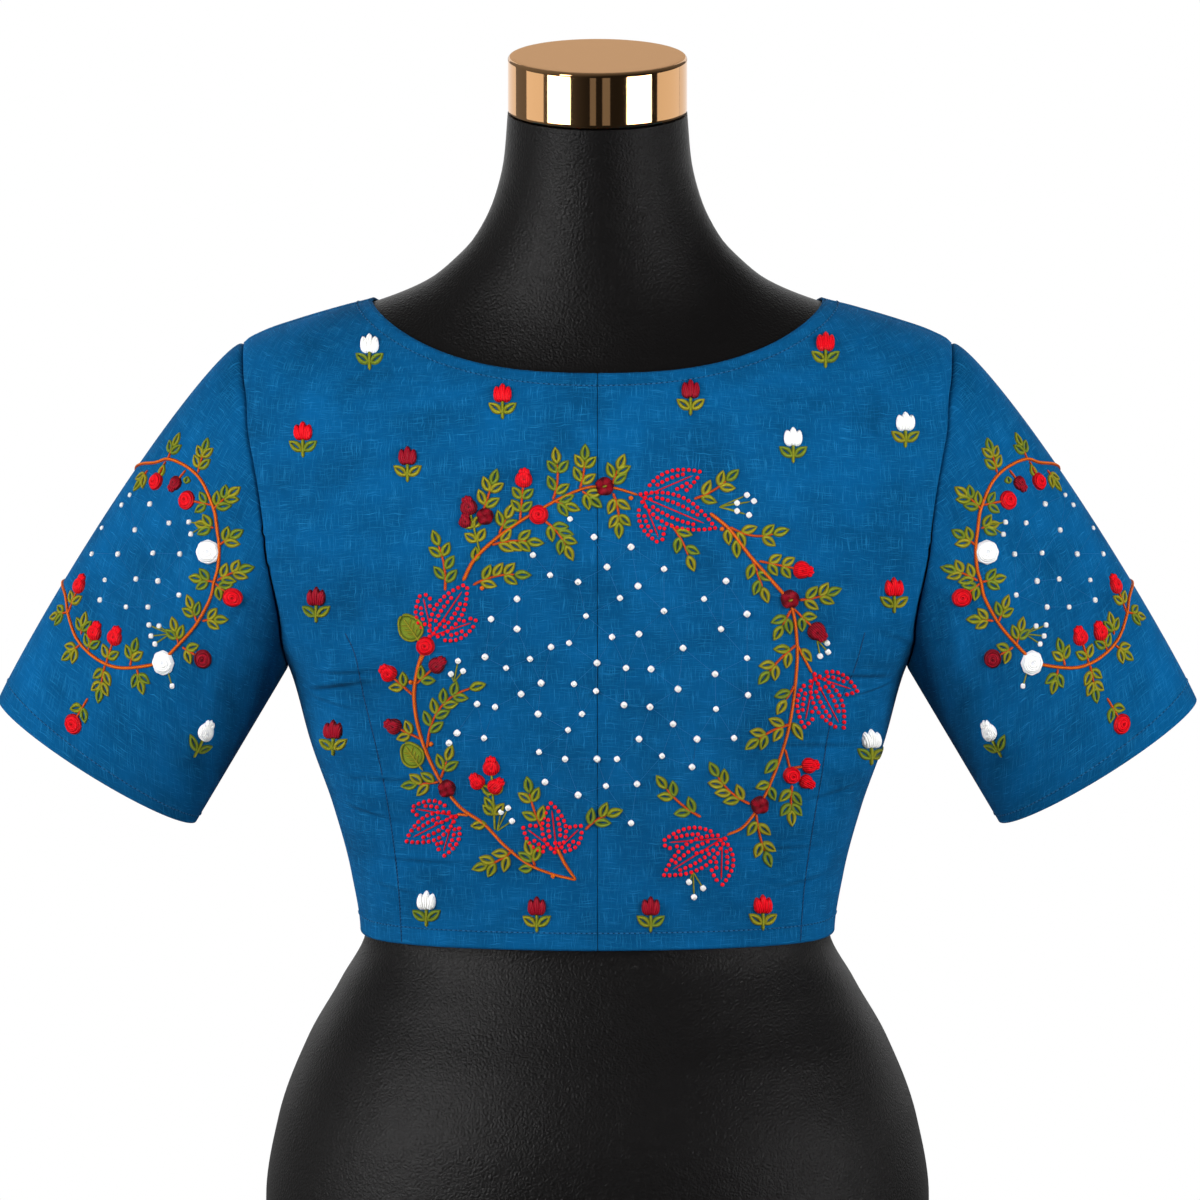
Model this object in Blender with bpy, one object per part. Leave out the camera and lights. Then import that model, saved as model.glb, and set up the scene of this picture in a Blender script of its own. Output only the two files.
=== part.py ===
"""Embroidered cropped blouse on a limbless dress form.

Metres, +Z up. The form stands on the plane z = 0 and the blouse's back, with its centre seam, faces -Y.
The wearer's right is +X. Every cloth piece is a closed wall that follows one torso shape, so the pieces
meet along their seams, and the sleeves start from the same armhole line that the body pieces end at.
"""

import math
from collections import namedtuple

import bmesh
import bpy
from mathutils import Vector
from mathutils.geometry import delaunay_2d_cdt

# Driving dimensions of the cloth
CLOTH = 0.0014
SEAM_GAP = 0.0003
CLOTH_REST = 0.0008
PLACKET_WIDTH = 0.022

# Neck cap of the form
CAP_RADIUS = 0.0470
CAP_BOTTOM = 0.6700
CAP_TOP = 0.7000
CAP_EDGE = 0.0012

# Armhole, as the angle round the torso that it cuts into the back and the front
ARMHOLE_BACK = math.radians(36)
ARMHOLE_FRONT = math.radians(40)

# Sleeve hem: its middle, the half sizes of its oval, and the point of its outer corner
SLEEVE_HEM_MIDDLE = Vector((0.2637, 0.0020, 0.3210))
SLEEVE_HEM_OUTER = Vector((0.3158, 0.0020, 0.3537))
SLEEVE_HEM_DEPTH = 0.0435
SLEEVE_TOP_BULGE = 0.0225
SLEEVE_SIDE_BULGE = 0.0120

# Bust of the form, and the cloth that bridges it
BUST_OUT = 0.0200
BUST_APART = 0.0860
BUST_HEIGHT = 0.3820
BUST_WIDTH = 0.0480
BUST_TALL = 0.0470

# How the level lines of the torso rise from the middle to the side
RING_RISE = 3.0

# Mesh fineness
FORM_SIDES = 48
BODY_COLUMNS = 12
HEM_TO_ARMPIT = 12
ARMPIT_TO_TIP = 14
TIP_TO_NECK = 6
SLEEVE_COLUMNS = 2 * ARMPIT_TO_TIP
SLEEVE_ROWS = 12
PLACKET_COLUMNS = 4
NEWTON_STEPS = 24
NEWTON_REACH = 2.0
CAP_SIDES = 40

# One row for each level line round the torso, from the base to the top of the neck. The side columns
# say where the line passes the side, and the back and front ones where it passes the middle. The last
# three say how much wider the cloth is than the form there: at the side, behind and before.
Level = namedtuple(
    "Level",
    "name side_z half_width back_z back front_z front square wide behind before",
)
LEVELS = [
    Level("base", 0.000, 0.1600, 0.000, 0.1010, 0.000, 0.0900, 2.3, 0, 0, 0),
    Level("base edge", 0.006, 0.1655, 0.006, 0.1060, 0.006, 0.0940, 2.3, 0, 0, 0),
    Level("thigh", 0.040, 0.1715, 0.040, 0.1130, 0.040, 0.0980, 2.3, 0, 0, 0),
    Level("hip", 0.084, 0.1757, 0.084, 0.1170, 0.084, 0.0990, 2.25, 0, 0, 0),
    Level("upper hip", 0.127, 0.1690, 0.127, 0.1130, 0.127, 0.0970, 2.25, 0, 0, 0),
    Level("high hip", 0.170, 0.1532, 0.170, 0.1010, 0.170, 0.0920, 2.2, 0, 0, 0),
    Level("flank", 0.200, 0.1365, 0.200, 0.0880, 0.200, 0.0840, 2.2, 0, 0, 0),
    Level("hem", 0.2305, 0.1223, 0.2375, 0.0765, 0.2350, 0.0780, 2.2, 0.0008, 0.0008, 0.0010),
    Level("waist", 0.262, 0.1258, 0.266, 0.0790, 0.264, 0.0820, 2.3, 0.0020, 0.0018, 0.0030),
    Level("rib", 0.300, 0.1345, 0.301, 0.0850, 0.301, 0.0900, 2.4, 0.0030, 0.0020, 0.0040),
    Level("under bust", 0.335, 0.1448, 0.334, 0.0912, 0.335, 0.0985, 2.5, 0.0045, 0.0014, 0.0030),
    Level("armpit", 0.3745, 0.1540, 0.370, 0.0960, 0.372, 0.1035, 2.6, 0.0060, 0.0006, 0.0004),
    Level("armhole low", 0.405, 0.1660, 0.395, 0.0980, 0.398, 0.1030, 2.6, 0.0100, 0.0004, 0.0004),
    Level("armhole middle", 0.462, 0.1840, 0.440, 0.0980, 0.440, 0.0975, 2.6, 0.0140, 0.0002, 0.0002),
    Level("armhole high", 0.515, 0.1860, 0.482, 0.0920, 0.478, 0.0890, 2.5, 0.0080, 0, 0),
    Level("armhole top", 0.5340, 0.1860, 0.498, 0.0885, 0.490, 0.0860, 2.4, 0.0020, 0, 0),
    Level("tip", 0.5446, 0.1832, 0.509, 0.0855, 0.498, 0.0835, 2.3, 0.0008, 0, 0),
    Level("outer shoulder", 0.5500, 0.1750, 0.517, 0.0830, 0.5035, 0.0815, 2.3, 0, 0, 0),
    Level("shoulder", 0.5562, 0.1580, 0.5265, 0.0795, 0.5095, 0.0790, 2.2, 0, 0, 0),
    Level("inner shoulder", 0.5638, 0.1330, 0.537, 0.0745, 0.516, 0.0755, 2.2, 0, 0, 0),
    Level("neckline", 0.5680, 0.1175, 0.5440, 0.0670, 0.5215, 0.0710, 2.1, 0, 0, 0),
    Level("neck root", 0.5800, 0.0890, 0.5635, 0.0575, 0.5470, 0.0585, 2.05, 0, 0, 0),
    Level("neck slope", 0.5917, 0.0745, 0.5805, 0.0530, 0.5690, 0.0530, 2.0, 0, 0, 0),
    Level("low neck", 0.6025, 0.0647, 0.5960, 0.0508, 0.5885, 0.0505, 2.0, 0, 0, 0),
    Level("neck", 0.6240, 0.0541, 0.6220, 0.0488, 0.6190, 0.0485, 2.0, 0, 0, 0),
    Level("high neck", 0.6457, 0.0490, 0.6455, 0.0475, 0.6450, 0.0475, 2.0, 0, 0, 0),
    Level("neck top", 0.6697, 0.0470, 0.6697, 0.0470, 0.6697, 0.0470, 2.0, 0, 0, 0),
]

# Soft folds of the cloth: their side (1 right, -1 left), the height of their middle, its angle round the
# torso in degrees, their length round it in degrees, their half height, how far they stand out, and how
# much they climb from their middle to the end that is nearer the side.
Fold = namedtuple("Fold", "side height angle length tall depth climb")
FOLDS = [
    Fold(-1, 0.386, -42, 44, 0.0070, 0.0018, -0.022),
    Fold(-1, 0.345, -34, 40, 0.0085, 0.0016, -0.010),
    Fold(-1, 0.318, -40, 52, 0.0080, 0.0017, -0.006),
    Fold(-1, 0.292, -33, 44, 0.0075, 0.0014, -0.004),
    Fold(-1, 0.268, -38, 46, 0.0065, 0.0012, 0.003),
    Fold(-1, 0.470, -50, 36, 0.0080, 0.0010, -0.030),
    Fold(1, 0.392, -36, 34, 0.0070, 0.0016, -0.014),
    Fold(1, 0.358, -40, 46, 0.0085, 0.0018, -0.012),
    Fold(1, 0.330, -34, 42, 0.0075, 0.0013, -0.007),
    Fold(1, 0.304, -41, 54, 0.0080, 0.0016, -0.005),
    Fold(1, 0.276, -35, 40, 0.0070, 0.0013, 0.002),
    Fold(1, 0.462, -52, 38, 0.0085, 0.0010, -0.028),
    Fold(-1, 0.340, 36, 50, 0.0090, 0.0016, -0.010),
    Fold(-1, 0.300, 42, 54, 0.0080, 0.0014, -0.005),
    Fold(1, 0.346, 38, 46, 0.0085, 0.0015, -0.012),
    Fold(1, 0.312, 44, 56, 0.0080, 0.0015, -0.006),
    Fold(1, 0.280, 36, 40, 0.0070, 0.0012, -0.002),
]

# Soft folds of the sleeves: their side, their middle as an angle from the sleeve's top over the back and
# as a share of its length, their half width and half length in the same measures, and how far they
# stand out. Each slants by its own angle for the whole length of the sleeve.
SleeveFold = namedtuple("SleeveFold", "side turn along wide long depth slant")
SLEEVE_FOLDS = [
    SleeveFold(-1, 62, 0.26, 9, 0.20, 0.0022, 60),
    SleeveFold(-1, 105, 0.34, 10, 0.22, 0.0020, 80),
    SleeveFold(-1, 128, 0.62, 9, 0.20, 0.0016, -60),
    SleeveFold(1, 70, 0.30, 10, 0.22, 0.0021, 70),
    SleeveFold(1, 112, 0.28, 9, 0.18, 0.0022, 70),
    SleeveFold(1, 120, 0.66, 10, 0.18, 0.0015, -50),
    SleeveFold(-1, 250, 0.32, 11, 0.22, 0.0020, -70),
    SleeveFold(1, 242, 0.36, 11, 0.24, 0.0020, -80),
]

# Padded flowers that stand out of the cloth. Each is placed as an eye sees it from VIEW_DISTANCE behind the
# form and VIEW_LEAN above it: so far across from the centre back, and so far up from LAYOUT_HEIGHT.
VIEW_LEAN = math.radians(13)
VIEW_DISTANCE = 10.0
LAYOUT_HEIGHT = 0.408
FLOWER_HEIGHT = 0.0022
FLOWER_CORNERS = 6
FLOWER_SHOULDER = 0.70
FLOWER_CLEAR = 1.25
Flower = namedtuple("Flower", "across up radius")
WREATH_FLOWERS = [
    Flower(0.0060, 0.0598, 0.0048),
    Flower(-0.0311, 0.0449, 0.0052),
    Flower(-0.0388, 0.0641, 0.0048),
    Flower(-0.0656, 0.0450, 0.0080),
    Flower(-0.0906, -0.0243, 0.0050),
    Flower(-0.0842, -0.0340, 0.0045),
    Flower(-0.1103, -0.0383, 0.0047),
    Flower(-0.1075, -0.0663, 0.0045),
    Flower(-0.0577, -0.0936, 0.0080),
    Flower(-0.0793, -0.0992, 0.0046),
    Flower(0.0854, -0.1079, 0.0047),
    Flower(0.1081, -0.0917, 0.0080),
    Flower(0.1158, -0.0169, 0.0052),
    Flower(0.1013, 0.0004, 0.0050),
    Flower(0.1081, 0.0157, 0.0050),
]
STREWN_FLOWERS = [
    Flower(-0.120, 0.133, 0.0050),
    Flower(-0.050, 0.107, 0.0050),
    Flower(-0.155, 0.087, 0.0050),
    Flower(-0.100, 0.074, 0.0050),
    Flower(-0.148, 0.000, 0.0050),
    Flower(-0.139, -0.070, 0.0050),
    Flower(-0.090, -0.160, 0.0050),
    Flower(-0.032, -0.163, 0.0050),
    Flower(0.028, -0.163, 0.0050),
    Flower(0.087, -0.162, 0.0050),
    Flower(0.144, -0.075, 0.0050),
    Flower(0.156, 0.005, 0.0050),
    Flower(0.103, 0.084, 0.0050),
    Flower(0.162, 0.092, 0.0050),
    Flower(0.120, 0.134, 0.0050),
    Flower(0.049, 0.109, 0.0050),
]

# The flowers of a sleeve's back half are placed in the same way, with their distance from the centre back
# for either sleeve. Those of its front half are given by the angle round it from its top, and by how far
# they are from its seam to its hem.
SLEEVE_FLOWERS = [
    Flower(0.2163, 0.0526, 0.0048),
    Flower(0.2224, 0.0611, 0.0040),
    Flower(0.2324, 0.0624, 0.0044),
    Flower(0.2051, 0.0253, 0.0062),
    Flower(0.1921, 0.0013, 0.0052),
    Flower(0.2077, -0.0310, 0.0052),
    Flower(0.2287, -0.0331, 0.0062),
    Flower(0.2540, -0.0190, 0.0045),
    Flower(0.2645, -0.0165, 0.0045),
    Flower(0.2725, 0.0083, 0.0050),
    Flower(0.2761, -0.0653, 0.0052),
    Flower(0.2057, -0.0690, 0.0054),
]
FrontFlower = namedtuple("FrontFlower", "turn along radius")
SLEEVE_FRONT_FLOWERS = [
    FrontFlower(-62, 0.30, 0.0050),
    FrontFlower(-74, 0.47, 0.0050),
    FrontFlower(-58, 0.66, 0.0050),
]

# Colours
BLUE_COTTON = (0.008, 0.115, 0.300, 1.0)
BLACK_HIDE = (0.012, 0.011, 0.011, 1.0)
ROSE_GOLD = (0.590, 0.300, 0.135, 1.0)


def clear_scene():
    for item in list(bpy.data.objects):
        bpy.data.objects.remove(item)


def principled(name, colour, roughness, metallic=0.0):
    material = bpy.data.materials.new(name)
    material.use_nodes = True
    shader = material.node_tree.nodes["Principled BSDF"]
    shader.inputs["Base Color"].default_value = colour
    shader.inputs["Roughness"].default_value = roughness
    shader.inputs["Metallic"].default_value = metallic
    return material


def distances_along(points):
    total = [0.0]
    for before, after in zip(points, points[1:]):
        total.append(total[-1] + math.dist(before, after))
    return total


STATIONS = distances_along([(row.side_z, row.half_width) for row in LEVELS])
LEVEL_OF = {row.name: station for row, station in zip(LEVELS, STATIONS)}


def slopes(values):
    """Slopes at the stations for a cubic that never overshoots its rows."""
    steps = [
        (b - a) / (t - s)
        for a, b, s, t in zip(values, values[1:], STATIONS, STATIONS[1:])
    ]
    inner = [
        0.0 if before * after <= 0 else 2 * before * after / (before + after)
        for before, after in zip(steps, steps[1:])
    ]
    return [steps[0], *inner, steps[-1]]


def column_of(field):
    """One column of the table with its slopes."""
    values = [getattr(row, field) for row in LEVELS]
    return values, slopes(values)


COLUMNS = {field: column_of(field) for field in Level._fields[1:]}


def at_level(field, level):
    """One column of the table at any level between its rows."""
    values, bends = COLUMNS[field]
    i = 0
    while i < len(STATIONS) - 2 and level > STATIONS[i + 1]:
        i += 1
    span = STATIONS[i + 1] - STATIONS[i]
    t = (level - STATIONS[i]) / span
    return (
        (2 * t**3 - 3 * t**2 + 1) * values[i]
        + (t**3 - 2 * t**2 + t) * span * bends[i]
        + (3 * t**2 - 2 * t**3) * values[i + 1]
        + (t**3 - t**2) * span * bends[i + 1]
    )


def bust(x, z, bridged):
    """How far the bust stands out. Cloth bridges straight from one side to the other."""
    aside = abs(x) - BUST_APART
    if bridged:
        aside = max(aside, 0.0)
    return BUST_OUT * math.exp(-((aside / BUST_WIDTH) ** 2) - ((z - BUST_HEIGHT) / BUST_TALL) ** 2)


def torso(angle, level, clothed):
    """A point of the form's skin or, if clothed, of the shape that the cloth hangs in.

    The angle is 0 at the wearer's right side, -90 degrees at the centre back and 90 at the centre front.
    """
    c = math.cos(angle)
    s = math.sin(angle)
    square = at_level("square", level)
    gain = (abs(c) ** square + abs(s) ** square) ** (-1 / square)
    behind = s < 0
    deep = at_level("back" if behind else "front", level)
    wide = at_level("half_width", level)
    if clothed:
        wide += at_level("wide", level)
        deep += at_level("behind" if behind else "before", level)
    middle_z = at_level("back_z" if behind else "front_z", level)
    side_z = at_level("side_z", level)
    x = wide * c * gain
    y = deep * s * gain
    z = middle_z + (side_z - middle_z) * abs(c) ** RING_RISE
    if not behind:
        y += bust(x, z, clothed) * s
    return Vector((x, y, z))


def across(point_at, u, v, du, dv):
    """The outward normal of a surface at (u, v), from points a little to each side."""
    along_u = point_at(u + du, v) - point_at(u - du, v)
    along_v = point_at(u, v + dv) - point_at(u, v - dv)
    return along_u.cross(along_v).normalized()


def fold_out(side, angle, height):
    """How far the soft folds push a body panel out of its plain shape."""
    total = 0.0
    for fold in FOLDS:
        round_it = (math.degrees(angle) - fold.angle) / (fold.length / 2)
        if fold.side != side or abs(round_it) >= 1:
            continue
        up = (height - fold.height - fold.climb * round_it) / fold.tall
        total += fold.depth * math.cos(math.pi / 2 * round_it) ** 2 * math.exp(-up * up)
    return total


def cloth(side, angle, level, out):
    """A point of the cloth. out is 0 on its inside and the cloth's thickness on its outside."""
    place = torso(angle, level, True)
    normal = across(lambda a, b: torso(a, b, True), angle, level, 1e-3, 1e-4)
    place += normal * (CLOTH_REST + fold_out(side, angle, place.z) + out)
    return Vector((side * place.x, place.y, place.z))


ARMPIT = LEVEL_OF["armpit"]
TIP = LEVEL_OF["tip"]
ARMHOLE_MIDDLE = (ARMPIT + TIP) / 2
ARMHOLE_HALF = (TIP - ARMPIT) / 2
BODY_ROWS = HEM_TO_ARMPIT + ARMPIT_TO_TIP + TIP_TO_NECK


def row_level(row):
    """The level of a panel's row, and how far into the panel the armhole cuts there, from 0 to 1."""
    if row <= HEM_TO_ARMPIT:
        share = row / HEM_TO_ARMPIT
        return LEVEL_OF["hem"] + (ARMPIT - LEVEL_OF["hem"]) * share, 0.0
    if row <= HEM_TO_ARMPIT + ARMPIT_TO_TIP:
        turn = math.pi * (row - HEM_TO_ARMPIT) / ARMPIT_TO_TIP
        return ARMHOLE_MIDDLE - ARMHOLE_HALF * math.cos(turn), math.sin(turn)
    share = (row - HEM_TO_ARMPIT - ARMPIT_TO_TIP) / TIP_TO_NECK
    return TIP + (LEVEL_OF["neckline"] - TIP) * share, 0.0


def panel(side, is_front):
    """The surface of one body panel. Column 0 is its centre edge and the last its side or armhole."""

    def point(column, row, out):
        level, armhole = row_level(row)
        middle = math.pi / 2 - SEAM_GAP / 2 / at_level("half_width", level)
        seam = SEAM_GAP / 2 / at_level("front" if is_front else "back", level)
        reach = ARMHOLE_FRONT if is_front else ARMHOLE_BACK
        edge = max(reach * armhole, seam)
        angle = middle + (edge - middle) * column / BODY_COLUMNS
        return cloth(side, angle if is_front else -angle, level, out)

    return point


def placket(column, row, out):
    """The surface of the strip over the front opening, from its right edge to its left."""
    level, _ = row_level(row)
    across_it = PLACKET_WIDTH * (1 / 2 - column / PLACKET_COLUMNS)
    side = 1 if across_it >= 0 else -1
    angle = math.pi / 2 - abs(across_it) / at_level("half_width", level)
    return cloth(side, angle, level, out + CLOTH + SEAM_GAP)


def armhole_line(side, turn, inset):
    """A point on the outside of the armhole line, set into the armhole from the panels' edges."""
    turn %= 2 * math.pi
    behind = turn < math.pi
    reach = ARMHOLE_BACK if behind else ARMHOLE_FRONT
    sign = -1 if behind else 1
    step = 1e-3
    edge = cloth(side, sign * reach, ARMHOLE_MIDDLE, CLOTH)
    pace = (edge - cloth(side, sign * (reach - step), ARMHOLE_MIDDLE, CLOTH)).length / step
    angle = sign * (reach - inset / pace) * abs(math.sin(turn))
    level = ARMHOLE_MIDDLE + (ARMHOLE_HALF - inset) * math.cos(turn)
    return cloth(side, angle, level, CLOTH)


def sleeve_folds_out(side, turn, along):
    """How far the soft folds push a sleeve out of its plain shape."""
    total = 0.0
    for fold in SLEEVE_FOLDS:
        beyond = (along - fold.along) / fold.long
        if fold.side != side or abs(beyond) >= 1:
            continue
        aside = (math.degrees(turn) - fold.turn - fold.slant * (along - fold.along)) / fold.wide
        total += fold.depth * math.cos(math.pi / 2 * beyond) ** 2 * math.exp(-aside * aside)
    return total


def sleeve_outside(side, turn, along):
    """A point of a sleeve's outside. turn runs from its top over the back, along from seam to hem."""
    turn %= 2 * math.pi
    start = armhole_line(side, turn, SEAM_GAP)
    outward = SLEEVE_HEM_OUTER - SLEEVE_HEM_MIDDLE
    back = Vector((0, -SLEEVE_HEM_DEPTH, 0))
    end = SLEEVE_HEM_MIDDLE + outward * math.cos(turn) + back * math.sin(turn)
    end.x *= side
    away = outward.normalized()
    bulge = away * SLEEVE_TOP_BULGE * max(math.cos(turn), 0.0) ** 2
    bulge += back.normalized() * SLEEVE_SIDE_BULGE * math.sin(turn)
    folded = away * math.cos(turn) + back.normalized() * math.sin(turn)
    swell = bulge * along**0.5 * (1 - along) ** 0.85 + folded * sleeve_folds_out(side, turn, along)
    swell.x *= side
    return start.lerp(end, along) + swell


def sleeve(side):
    """The surface of one sleeve, a tube whose first column is its underarm seam."""

    def point(column, row, out):
        turn = math.pi + 2 * math.pi * column / SLEEVE_COLUMNS
        along = row / SLEEVE_ROWS
        step = 2e-3
        inner = min(max(along, step), 1 - step)
        normal = across(lambda a, b: sleeve_outside(side, a, b), turn, inner, step, step) * side
        if row == 0:
            into = armhole_line(side, turn, 4 * SEAM_GAP) - armhole_line(side, turn, SEAM_GAP)
            into.normalize()
            normal = (normal - into * normal.dot(into)).normalized()
        return sleeve_outside(side, turn, along) - normal * (CLOTH - out)

    return point


def pace(surface, column, row):
    """A place's step by one column, and by one row: how far it goes along the column's step and beside it."""
    here = surface(column, row, CLOTH)
    step = 0.05
    by_column = (surface(column + step, row, CLOTH) - here) / step
    by_row = (surface(column, row + step, CLOTH) - here) / step
    wide = by_column.length
    slant = by_row.dot(by_column) / wide
    return wide, slant, math.sqrt(by_row.length_squared - slant**2)


def flower_points(surface, column, row, radius):
    """One padded flower's points: a foot, a shoulder and a top, in columns, rows and height."""
    wide, slant, tall = pace(surface, column, row)
    yield column, row, FLOWER_HEIGHT
    for share, height in ((1.0, 0.0), (FLOWER_SHOULDER, FLOWER_HEIGHT * 0.8)):
        for k in range(FLOWER_CORNERS):
            turn = 2 * math.pi * k / FLOWER_CORNERS
            up = radius * share * math.sin(turn) / tall
            over = (radius * share * math.cos(turn) - up * slant) / wide
            yield column + over, row + up, height


def outside_points(surface, columns, rows, flowers):
    """The grid of a wall's outside, with each flower in place of the grid points that it covers."""
    feet = [(flower, pace(surface, *flower[:2])) for flower in flowers]
    for j in range(rows + 1):
        for i in range(columns + 1):
            covered = any(
                math.hypot((i - column) * wide + (j - row) * slant, (j - row) * tall) < radius * FLOWER_CLEAR
                for (column, row, radius), (wide, slant, tall) in feet
            )
            if not covered or i in (0, columns) or j in (0, rows):
                yield i, j, 0.0
    for flower in flowers:
        yield from flower_points(surface, *flower)


def make_wall(name, surface, columns, rows, closed, material, flowers=()):
    """A closed wall of cloth: its outside with any padded flowers, its plain inside, and its edges."""
    mesh = bmesh.new()
    last = columns if closed else columns + 1
    places = list(outside_points(surface, columns, rows, flowers))
    flat = [Vector((i, j)) for i, j, _ in places]
    used, _, faces, sources, _, _ = delaunay_2d_cdt(flat, [], [], 0, 1e-6)
    outside = []
    number = {}
    for k, found in enumerate(sources):
        i, j, height = places[found[0]]
        number[(i, j)] = k
        if closed and i == columns:
            outside.append(None)
        else:
            outside.append(mesh.verts.new(surface(i, j, CLOTH + height)))
    if closed:
        for j in range(rows + 1):
            outside[number[(columns, j)]] = outside[number[(0, j)]]
    for face in faces:
        mesh.faces.new([outside[k] for k in face])
    inside = [[mesh.verts.new(surface(i, j, 0.0)) for i in range(last)] for j in range(rows + 1)]
    for j in range(rows):
        for i in range(columns):
            k = (i + 1) % last
            mesh.faces.new((inside[j][i], inside[j + 1][i], inside[j + 1][k], inside[j][k]))
    low = [(i, 0) for i in range(columns + 1)]
    high = [(i, rows) for i in range(columns + 1)]
    if closed:
        loops = [low, high]
    else:
        right = [(columns, j) for j in range(1, rows)]
        left = [(0, j) for j in range(rows - 1, -1, -1)]
        loops = [low + right + high[::-1] + left]
    for loop in loops:
        for (i, j), (k, m) in zip(loop, loop[1:]):
            corners = (
                outside[number[(i, j)]],
                outside[number[(k, m)]],
                inside[m][k % last],
                inside[j][i % last],
            )
            mesh.faces.new(corners)
    bmesh.ops.recalc_face_normals(mesh, faces=mesh.faces)
    return finish_mesh(name, mesh, material)


def finish_mesh(name, mesh, material):
    data = bpy.data.meshes.new(name)
    mesh.to_mesh(data)
    mesh.free()
    data.shade_smooth()
    data.set_sharp_from_angle(angle=math.radians(40))
    data.materials.append(material)
    thing = bpy.data.objects.new(name, data)
    bpy.context.scene.collection.objects.link(thing)
    return thing


def seen(place):
    """Where an eye behind the form sees a place, in metres across and up."""
    rise = place.z - LAYOUT_HEIGHT
    up = rise * math.cos(VIEW_LEAN) + place.y * math.sin(VIEW_LEAN)
    nearer = rise * math.sin(VIEW_LEAN) - place.y * math.cos(VIEW_LEAN)
    return Vector((place.x, up)) * VIEW_DISTANCE / (VIEW_DISTANCE - nearer)


def on_surface(surface, columns, rows, spot):
    """The column and row of a surface that are seen at a spot, by Newton's rule between these limits."""
    column = sum(columns) / 2
    row = sum(rows) / 2
    step = 1e-3
    for _ in range(NEWTON_STEPS):
        here = seen(surface(column, row, CLOTH))
        miss = spot - here
        by_column = (seen(surface(column + step, row, CLOTH)) - here) / step
        by_row = (seen(surface(column, row + step, CLOTH)) - here) / step
        scale = by_column.cross(by_row)
        move = Vector((miss.cross(by_row), by_column.cross(miss))) / scale
        move.length = min(move.length, NEWTON_REACH)
        column = min(max(column + move.x, columns[0]), columns[1])
        row = min(max(row + move.y, rows[0]), rows[1])
    return column, row


def back_flowers(surface, side):
    """The flowers of one back panel, as columns, rows and radii."""
    columns = (0.0, float(BODY_COLUMNS))
    rows = (0.0, float(BODY_ROWS))
    return [
        (*on_surface(surface, columns, rows, Vector((flower.across, flower.up))), flower.radius)
        for flower in STREWN_FLOWERS + WREATH_FLOWERS
        if flower.across * side > 0
    ]


def sleeve_flowers(surface, side):
    """The flowers of one sleeve, as columns, rows and radii."""
    columns = (SLEEVE_COLUMNS / 2 - 1.5, SLEEVE_COLUMNS - 1.5)
    rows = (0.5, SLEEVE_ROWS - 0.5)
    flowers = [
        (*on_surface(surface, columns, rows, Vector((side * flower.across, flower.up))), flower.radius)
        for flower in SLEEVE_FLOWERS
    ]
    for flower in SLEEVE_FRONT_FLOWERS:
        column = SLEEVE_COLUMNS * (1 / 2 + flower.turn / 360)
        flowers.append((column, flower.along * SLEEVE_ROWS, flower.radius))
    return flowers


def build_form(hide):
    """The limbless form: level rings of one skin, closed flat below and above."""
    mesh = bmesh.new()
    stations = []
    for before, after in zip(STATIONS, STATIONS[1:]):
        parts = 2 if after - before > 0.020 else 1
        stations += [before + (after - before) * k / parts for k in range(parts)]
    stations.append(STATIONS[-1])
    rings = []
    for level in stations:
        ring = [
            mesh.verts.new(torso(2 * math.pi * k / FORM_SIDES - math.pi, level, False))
            for k in range(FORM_SIDES)
        ]
        rings.append(ring)
    for low, high in zip(rings, rings[1:]):
        for k in range(FORM_SIDES):
            m = (k + 1) % FORM_SIDES
            mesh.faces.new((low[k], low[m], high[m], high[k]))
    mesh.faces.new(rings[0])
    mesh.faces.new(rings[-1])
    bmesh.ops.recalc_face_normals(mesh, faces=mesh.faces)
    return finish_mesh("form_torso", mesh, hide)


def build_cap(metal):
    """The turned metal cap that closes the neck, with eased edges."""
    mesh = bmesh.new()
    bmesh.ops.create_cone(
        mesh,
        cap_ends=True,
        segments=CAP_SIDES,
        radius1=CAP_RADIUS,
        radius2=CAP_RADIUS,
        depth=CAP_TOP - CAP_BOTTOM,
    )
    middle = (CAP_TOP + CAP_BOTTOM) / 2
    bmesh.ops.translate(mesh, verts=mesh.verts, vec=(0, 0, middle))
    rims = [e for e in mesh.edges if abs(e.verts[0].co.z - e.verts[1].co.z) < 1e-6]
    bmesh.ops.bevel(mesh, geom=rims, offset=CAP_EDGE, segments=2, profile=0.5, affect="EDGES")
    return finish_mesh("neck_cap", mesh, metal)


def build_blouse(cotton):
    """Two backs, two fronts with the strip over their opening, and two sleeves."""
    for side, name in ((1, "right"), (-1, "left")):
        back = panel(side, False)
        flowers = back_flowers(back, side)
        make_wall("back_" + name, back, BODY_COLUMNS, BODY_ROWS, False, cotton, flowers)
        make_wall("front_" + name, panel(side, True), BODY_COLUMNS, BODY_ROWS, False, cotton)
        tube = sleeve(side)
        flowers = sleeve_flowers(tube, side)
        make_wall("sleeve_" + name, tube, SLEEVE_COLUMNS, SLEEVE_ROWS, True, cotton, flowers)
    make_wall("front_placket", placket, PLACKET_COLUMNS, BODY_ROWS, False, cotton)


def main():
    clear_scene()
    cotton = principled("slub cotton", BLUE_COTTON, 0.85)
    hide = principled("black leatherette", BLACK_HIDE, 0.45)
    metal = principled("rose gold plate", ROSE_GOLD, 0.12, 1.0)
    build_form(hide)
    build_cap(metal)
    build_blouse(cotton)


main()
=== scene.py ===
"""Looks of an embroidered cropped blouse on a limbless dress form, in metres, with +Z up.

The blouse's back, with its centre seam, faces -Y and the camera. The wearer's right is +X. Every cloth
piece follows the same torso shape as its CAD solid, in a finer mesh, and the sewing lies on that shape.
"""

import math
from collections import namedtuple

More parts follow.
